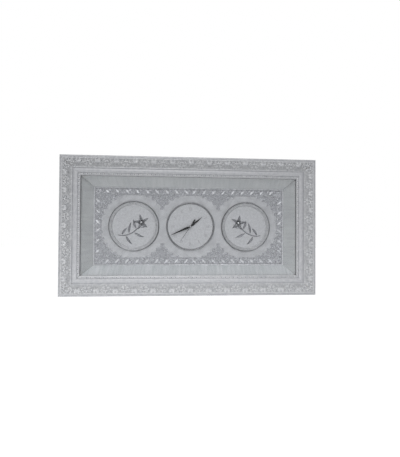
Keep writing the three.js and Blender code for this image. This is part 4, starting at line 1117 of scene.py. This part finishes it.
def clear_glass():
    """A thin pane: straight through, but for what its front faces mirror."""
    material = bpy.data.materials.new("clear_glass")
    material.use_nodes = True
    tree = material.node_tree
    tree.nodes.remove(tree.nodes["Principled BSDF"])
    passing = node(material, "ShaderNodeBsdfTransparent", Color=(0.99, 0.993, 0.993, 1))
    shine = node(material, "ShaderNodeBsdfGlossy", Roughness=0.02)
    mirrored = node(material, "ShaderNodeFresnel", IOR=1.3).outputs["Fac"]
    backwards = node(material, "ShaderNodeNewGeometry").outputs["Backfacing"]
    amount = maths(material, "MULTIPLY", mirrored, maths(material, "SUBTRACT", 1, backwards))
    both = node(material, "ShaderNodeMixShader")
    for output, socket in zip((amount, passing.outputs["BSDF"], shine.outputs["BSDF"]), both.inputs):
        link(material, output, socket)
    link(material, both.outputs["Shader"], tree.nodes["Material Output"].inputs["Surface"])
    return material


def liner_lacquer(name, stretch, dark, light):
    """White lacquer with soft streaks across the board: a painted reflection, which also gives a faint
    bump.
    """
    material = surface(name, 0.25, Coat_Weight=0.4, Coat_Roughness=0.08)
    # The streaks are a painted reflection in the glossy board
    streaks = noise(material, 7, stretch, detail=1)
    tone = ramp(material, streaks, (0.35, dark), (0.65, light))
    cloud = ramp(material, noise(material, 60, detail=2), (0.3, (243, 244, 245)), (0.7, (255, 255, 255)))
    feed(material, "Base Color", multiplied(material, tone, cloud))
    set_bump(material, streaks, 0.03)
    return material


def battery_sleeve():
    """A plain blue sleeve with bare metal at both ends."""
    material = surface("battery_sleeve", 0.3, 0.6)
    split = node(material, "ShaderNodeSeparateXYZ")
    link(material, node(material, "ShaderNodeTexCoord").outputs["Object"], split.inputs["Vector"])
    away = maths(material, "ABSOLUTE", split.outputs["X"])
    share = maths(material, "MULTIPLY", away, 1 / SLEEVE_SCALE)
    tone = ramp(material, share, (0.0, SLEEVE_BLUE), (0.448, SLEEVE_BLUE), (0.452, (188, 190, 194)))
    cloud = ramp(material, noise(material, 6), (0.3, 0.85), (0.7, 1.0))
    feed(material, "Base Color", multiplied(material, tone, cloud))
    return material


def make_materials():
    return {
        "pearl": pearl_paint(),
        "pine_wide": raw_wood("pine_wide", (16, 1, 1)),
        "pine_tall": raw_wood("pine_tall", (1, 1, 16)),
        # One liner lacquer in three copies: the bottom liner's brighter as painted light and the side
        # liners' darker as painted shade
        "liner_wide": liner_lacquer("liner_wide", (1, 8, 8), (180, 182, 184), (187, 189, 191)),
        "liner_lit_bottom": liner_lacquer("liner_lit_bottom", (1, 8, 8), (181, 184, 187), (198, 200, 203)),
        "liner_shaded_sides": liner_lacquer("liner_shaded_sides", (8, 8, 1), (161, 163, 165), (168, 170, 172)),
        "glass": clear_glass(),
        "board": plain("base_board", (153, 154, 158), (167, 168, 172), 22, 0.4, 0.1),
        "lace": plain("lace_metal", (180, 181, 185), (212, 213, 217), 5, 0.34, 0.25),
        # A darker sheet under the openwork: painted shade in its openings
        "lace_shade_sheet": plain("lace_painted_shade", (132, 133, 138), (146, 147, 152), 5, 0.5),
        "disc": plain("disc_satin", (157, 158, 162), (170, 171, 175), 7, 0.36, 0.2, Coat_Weight=0.2),
        "silver": plain("silver_bright", (160, 161, 164), (196, 197, 200), 6, 0.22, 0.85),
        "ring": plain("silver_dark", (92, 93, 96), (114, 115, 118), 8, 0.34, 0.45),
        "band": plain("silver_band", (134, 135, 138), (152, 153, 156), 8, 0.42, 0.7),
        "spray": plain("silver_cast", (108, 109, 113), (140, 141, 145), 5, 0.3, 0.8),
        "mark": plain("mark_grey", (136, 137, 140), (148, 149, 152), 6, 0.35, 0.4),
        "black": plain("black_lacquer", (9, 9, 10), (16, 16, 18), 5, 0.35, Specular_IOR_Level=0.25),
        "movement": plain("black_plastic", (22, 22, 24), (34, 34, 37), 3, 0.5),
        "train": plain("white_plastic", (218, 214, 200), (234, 231, 220), 3, 0.4),
        "brass": plain("brass", (168, 136, 64), (196, 164, 88), 3, 0.3, 0.95),
        "steel": plain("steel", (150, 152, 155), (186, 188, 190), 2, 0.3, 0.95, (1, 6, 1)),
        "copper": plain("copper_winding", (150, 78, 40), (188, 108, 60), 0.8, 0.35, 0.8, (12, 1, 1)),
        "circuit": plain("circuit_green", (24, 84, 46), (40, 112, 66), 2, 0.4),
        "cell": battery_sleeve(),
        "fibreboard": plain("hardboard", (130, 98, 66), (160, 126, 90), 3, 0.7, 0.0, (2, 1, 1), 0.12),
        "rubber": plain("rubber", (30, 30, 31), (42, 42, 43), 2, 0.8, 0.0, depth=0.05),
    }


# By node, by slot, or else the material with the slot's own name
NODE_MATERIALS = {
    # The bottom liner takes the copy with painted light and the side liners the copy with painted shade
    "liner_bottom": "liner_lit_bottom",
    "liner_left": "liner_shaded_sides",
    "liner_right": "liner_shaded_sides",
    "spacer_left": "pine_tall",
    "spacer_right": "pine_tall",
}
SLOT_MATERIALS = {"liner": "liner_wide", "pine": "pine_wide"}


def dress_nodes(materials):
    """Better materials on the CAD nodes, by name or else by the record's slot."""
    slots = {entry["node"]: entry["material_slot"] for entry in frame["record"]["subparts"]}
    for name, piece in frame["nodes"].items():
        key = NODE_MATERIALS.get(name) or SLOT_MATERIALS.get(slots[name], slots[name])
        for place in piece.material_slots:
            place.material = materials[key]


# Stage, light and camera


def camera():
    data = bpy.data.cameras.new("camera")
    data.sensor_width = SENSOR_WIDTH
    data.lens = FOCAL_PIXELS * SENSOR_WIDTH / IMAGE_HEIGHT
    data.clip_start = 0.01
    viewer = add_object("camera", data)
    turn = Matrix.Identity(4)
    for degrees, axis in CAMERA_TURNS:
        turn = turn @ Matrix.Rotation(math.radians(degrees), 4, axis)
    viewer.matrix_world = Matrix.Translation([value * MM for value in CAMERA_AT]) @ turn
    bpy.context.scene.camera = viewer


def lamp(name, at, to, size, power, mirrored=True):
    """An area lamp that shines from one place to another, in metres and watts."""
    data = bpy.data.lights.new(name, "AREA")
    data.shape = "RECTANGLE"
    data.size, data.size_y = size
    data.energy = power
    light = add_object(name, data)
    light.visible_glossy = mirrored
    aim = (Vector(to) - Vector(at)).to_track_quat("-Z", "Y").to_matrix().to_4x4()
    light.matrix_world = Matrix.Translation(at) @ aim


def seen_directly(owner):
    """1 for what the camera, a mirror or glass sees, and 0 for what only lights the object."""
    path = node(owner, "ShaderNodeLightPath").outputs
    mirrored = maths(owner, "MAXIMUM", path["Is Camera Ray"], path["Is Glossy Ray"])
    return maths(owner, "MAXIMUM", mirrored, path["Is Transmission Ray"])


def white_world():
    """A white background that lights the object with a part of its brightness."""
    studio = bpy.data.worlds.new("studio")
    bpy.context.scene.world = studio
    studio.use_nodes = True
    background = studio.node_tree.nodes["Background"].inputs
    background["Color"].default_value = rgba(1.0)
    strength = node(studio, "ShaderNodeMapRange", **{"To Min": AMBIENT})
    link(studio, seen_directly(studio), strength.inputs["Value"])
    link(studio, strength.outputs["Result"], background["Strength"])


def floor():
    """A wide white floor that glows for what sees it directly, so that it meets the white world."""
    sockets = {"Base_Color": rgba((240, 240, 240)), "Emission_Color": rgba(1.0)}
    material = surface("floor_white", 0.9, **sockets)
    feed(material, "Emission Strength", maths(material, "MULTIPLY", seen_directly(material), FLOOR_GLOW))
    mesh = bpy.data.meshes.new("floor")
    corners = [(x * FLOOR_HALF, y * FLOOR_HALF, FLOOR_LEVEL) for x, y in CORNERS]
    mesh.from_pydata(corners, [], [(0, 1, 2, 3)])
    mesh.materials.append(material)
    plane = add_object("floor", mesh)


materials = make_materials()
dress_nodes(materials)
for number, (name, shade) in enumerate(RAILS):
    rail(name, number, shade, materials["pearl"], materials["pine_tall" if number % 2 else "pine_wide"])
lace_panel(materials["lace"], materials["lace_shade_sheet"])

rings = [materials["ring"], materials["band"]]
for side, x, mirror in (("left", -DISC_SPACING, 1), ("right", DISC_SPACING, -1)):
    ring(f"medallion_ring_{side}", x, MEDALLION_SIZE, MEDALLION_SECTION, rings, MEDALLION_SLOTS)
    spray(f"flower_spray_{side}", x, mirror, materials["spray"], materials["silver"])
ring("dial_ring", 0, DIAL_SIZE, DIAL_SECTION, rings[:1])
hands(materials["black"], materials["band"])
back_hardware(materials)
dial_marks(materials["mark"])

floor()
white_world()
lamp("key", (-0.25, -2.2, 1.7), (0, 0, 0), (1.8, 1.2), 36)
lamp("low", (-0.05, -0.5, -0.28), (0, 0, -0.2), (1.3, 0.1), 2.2, mirrored=False)
camera()
bpy.context.scene.view_settings.view_transform = "Standard"
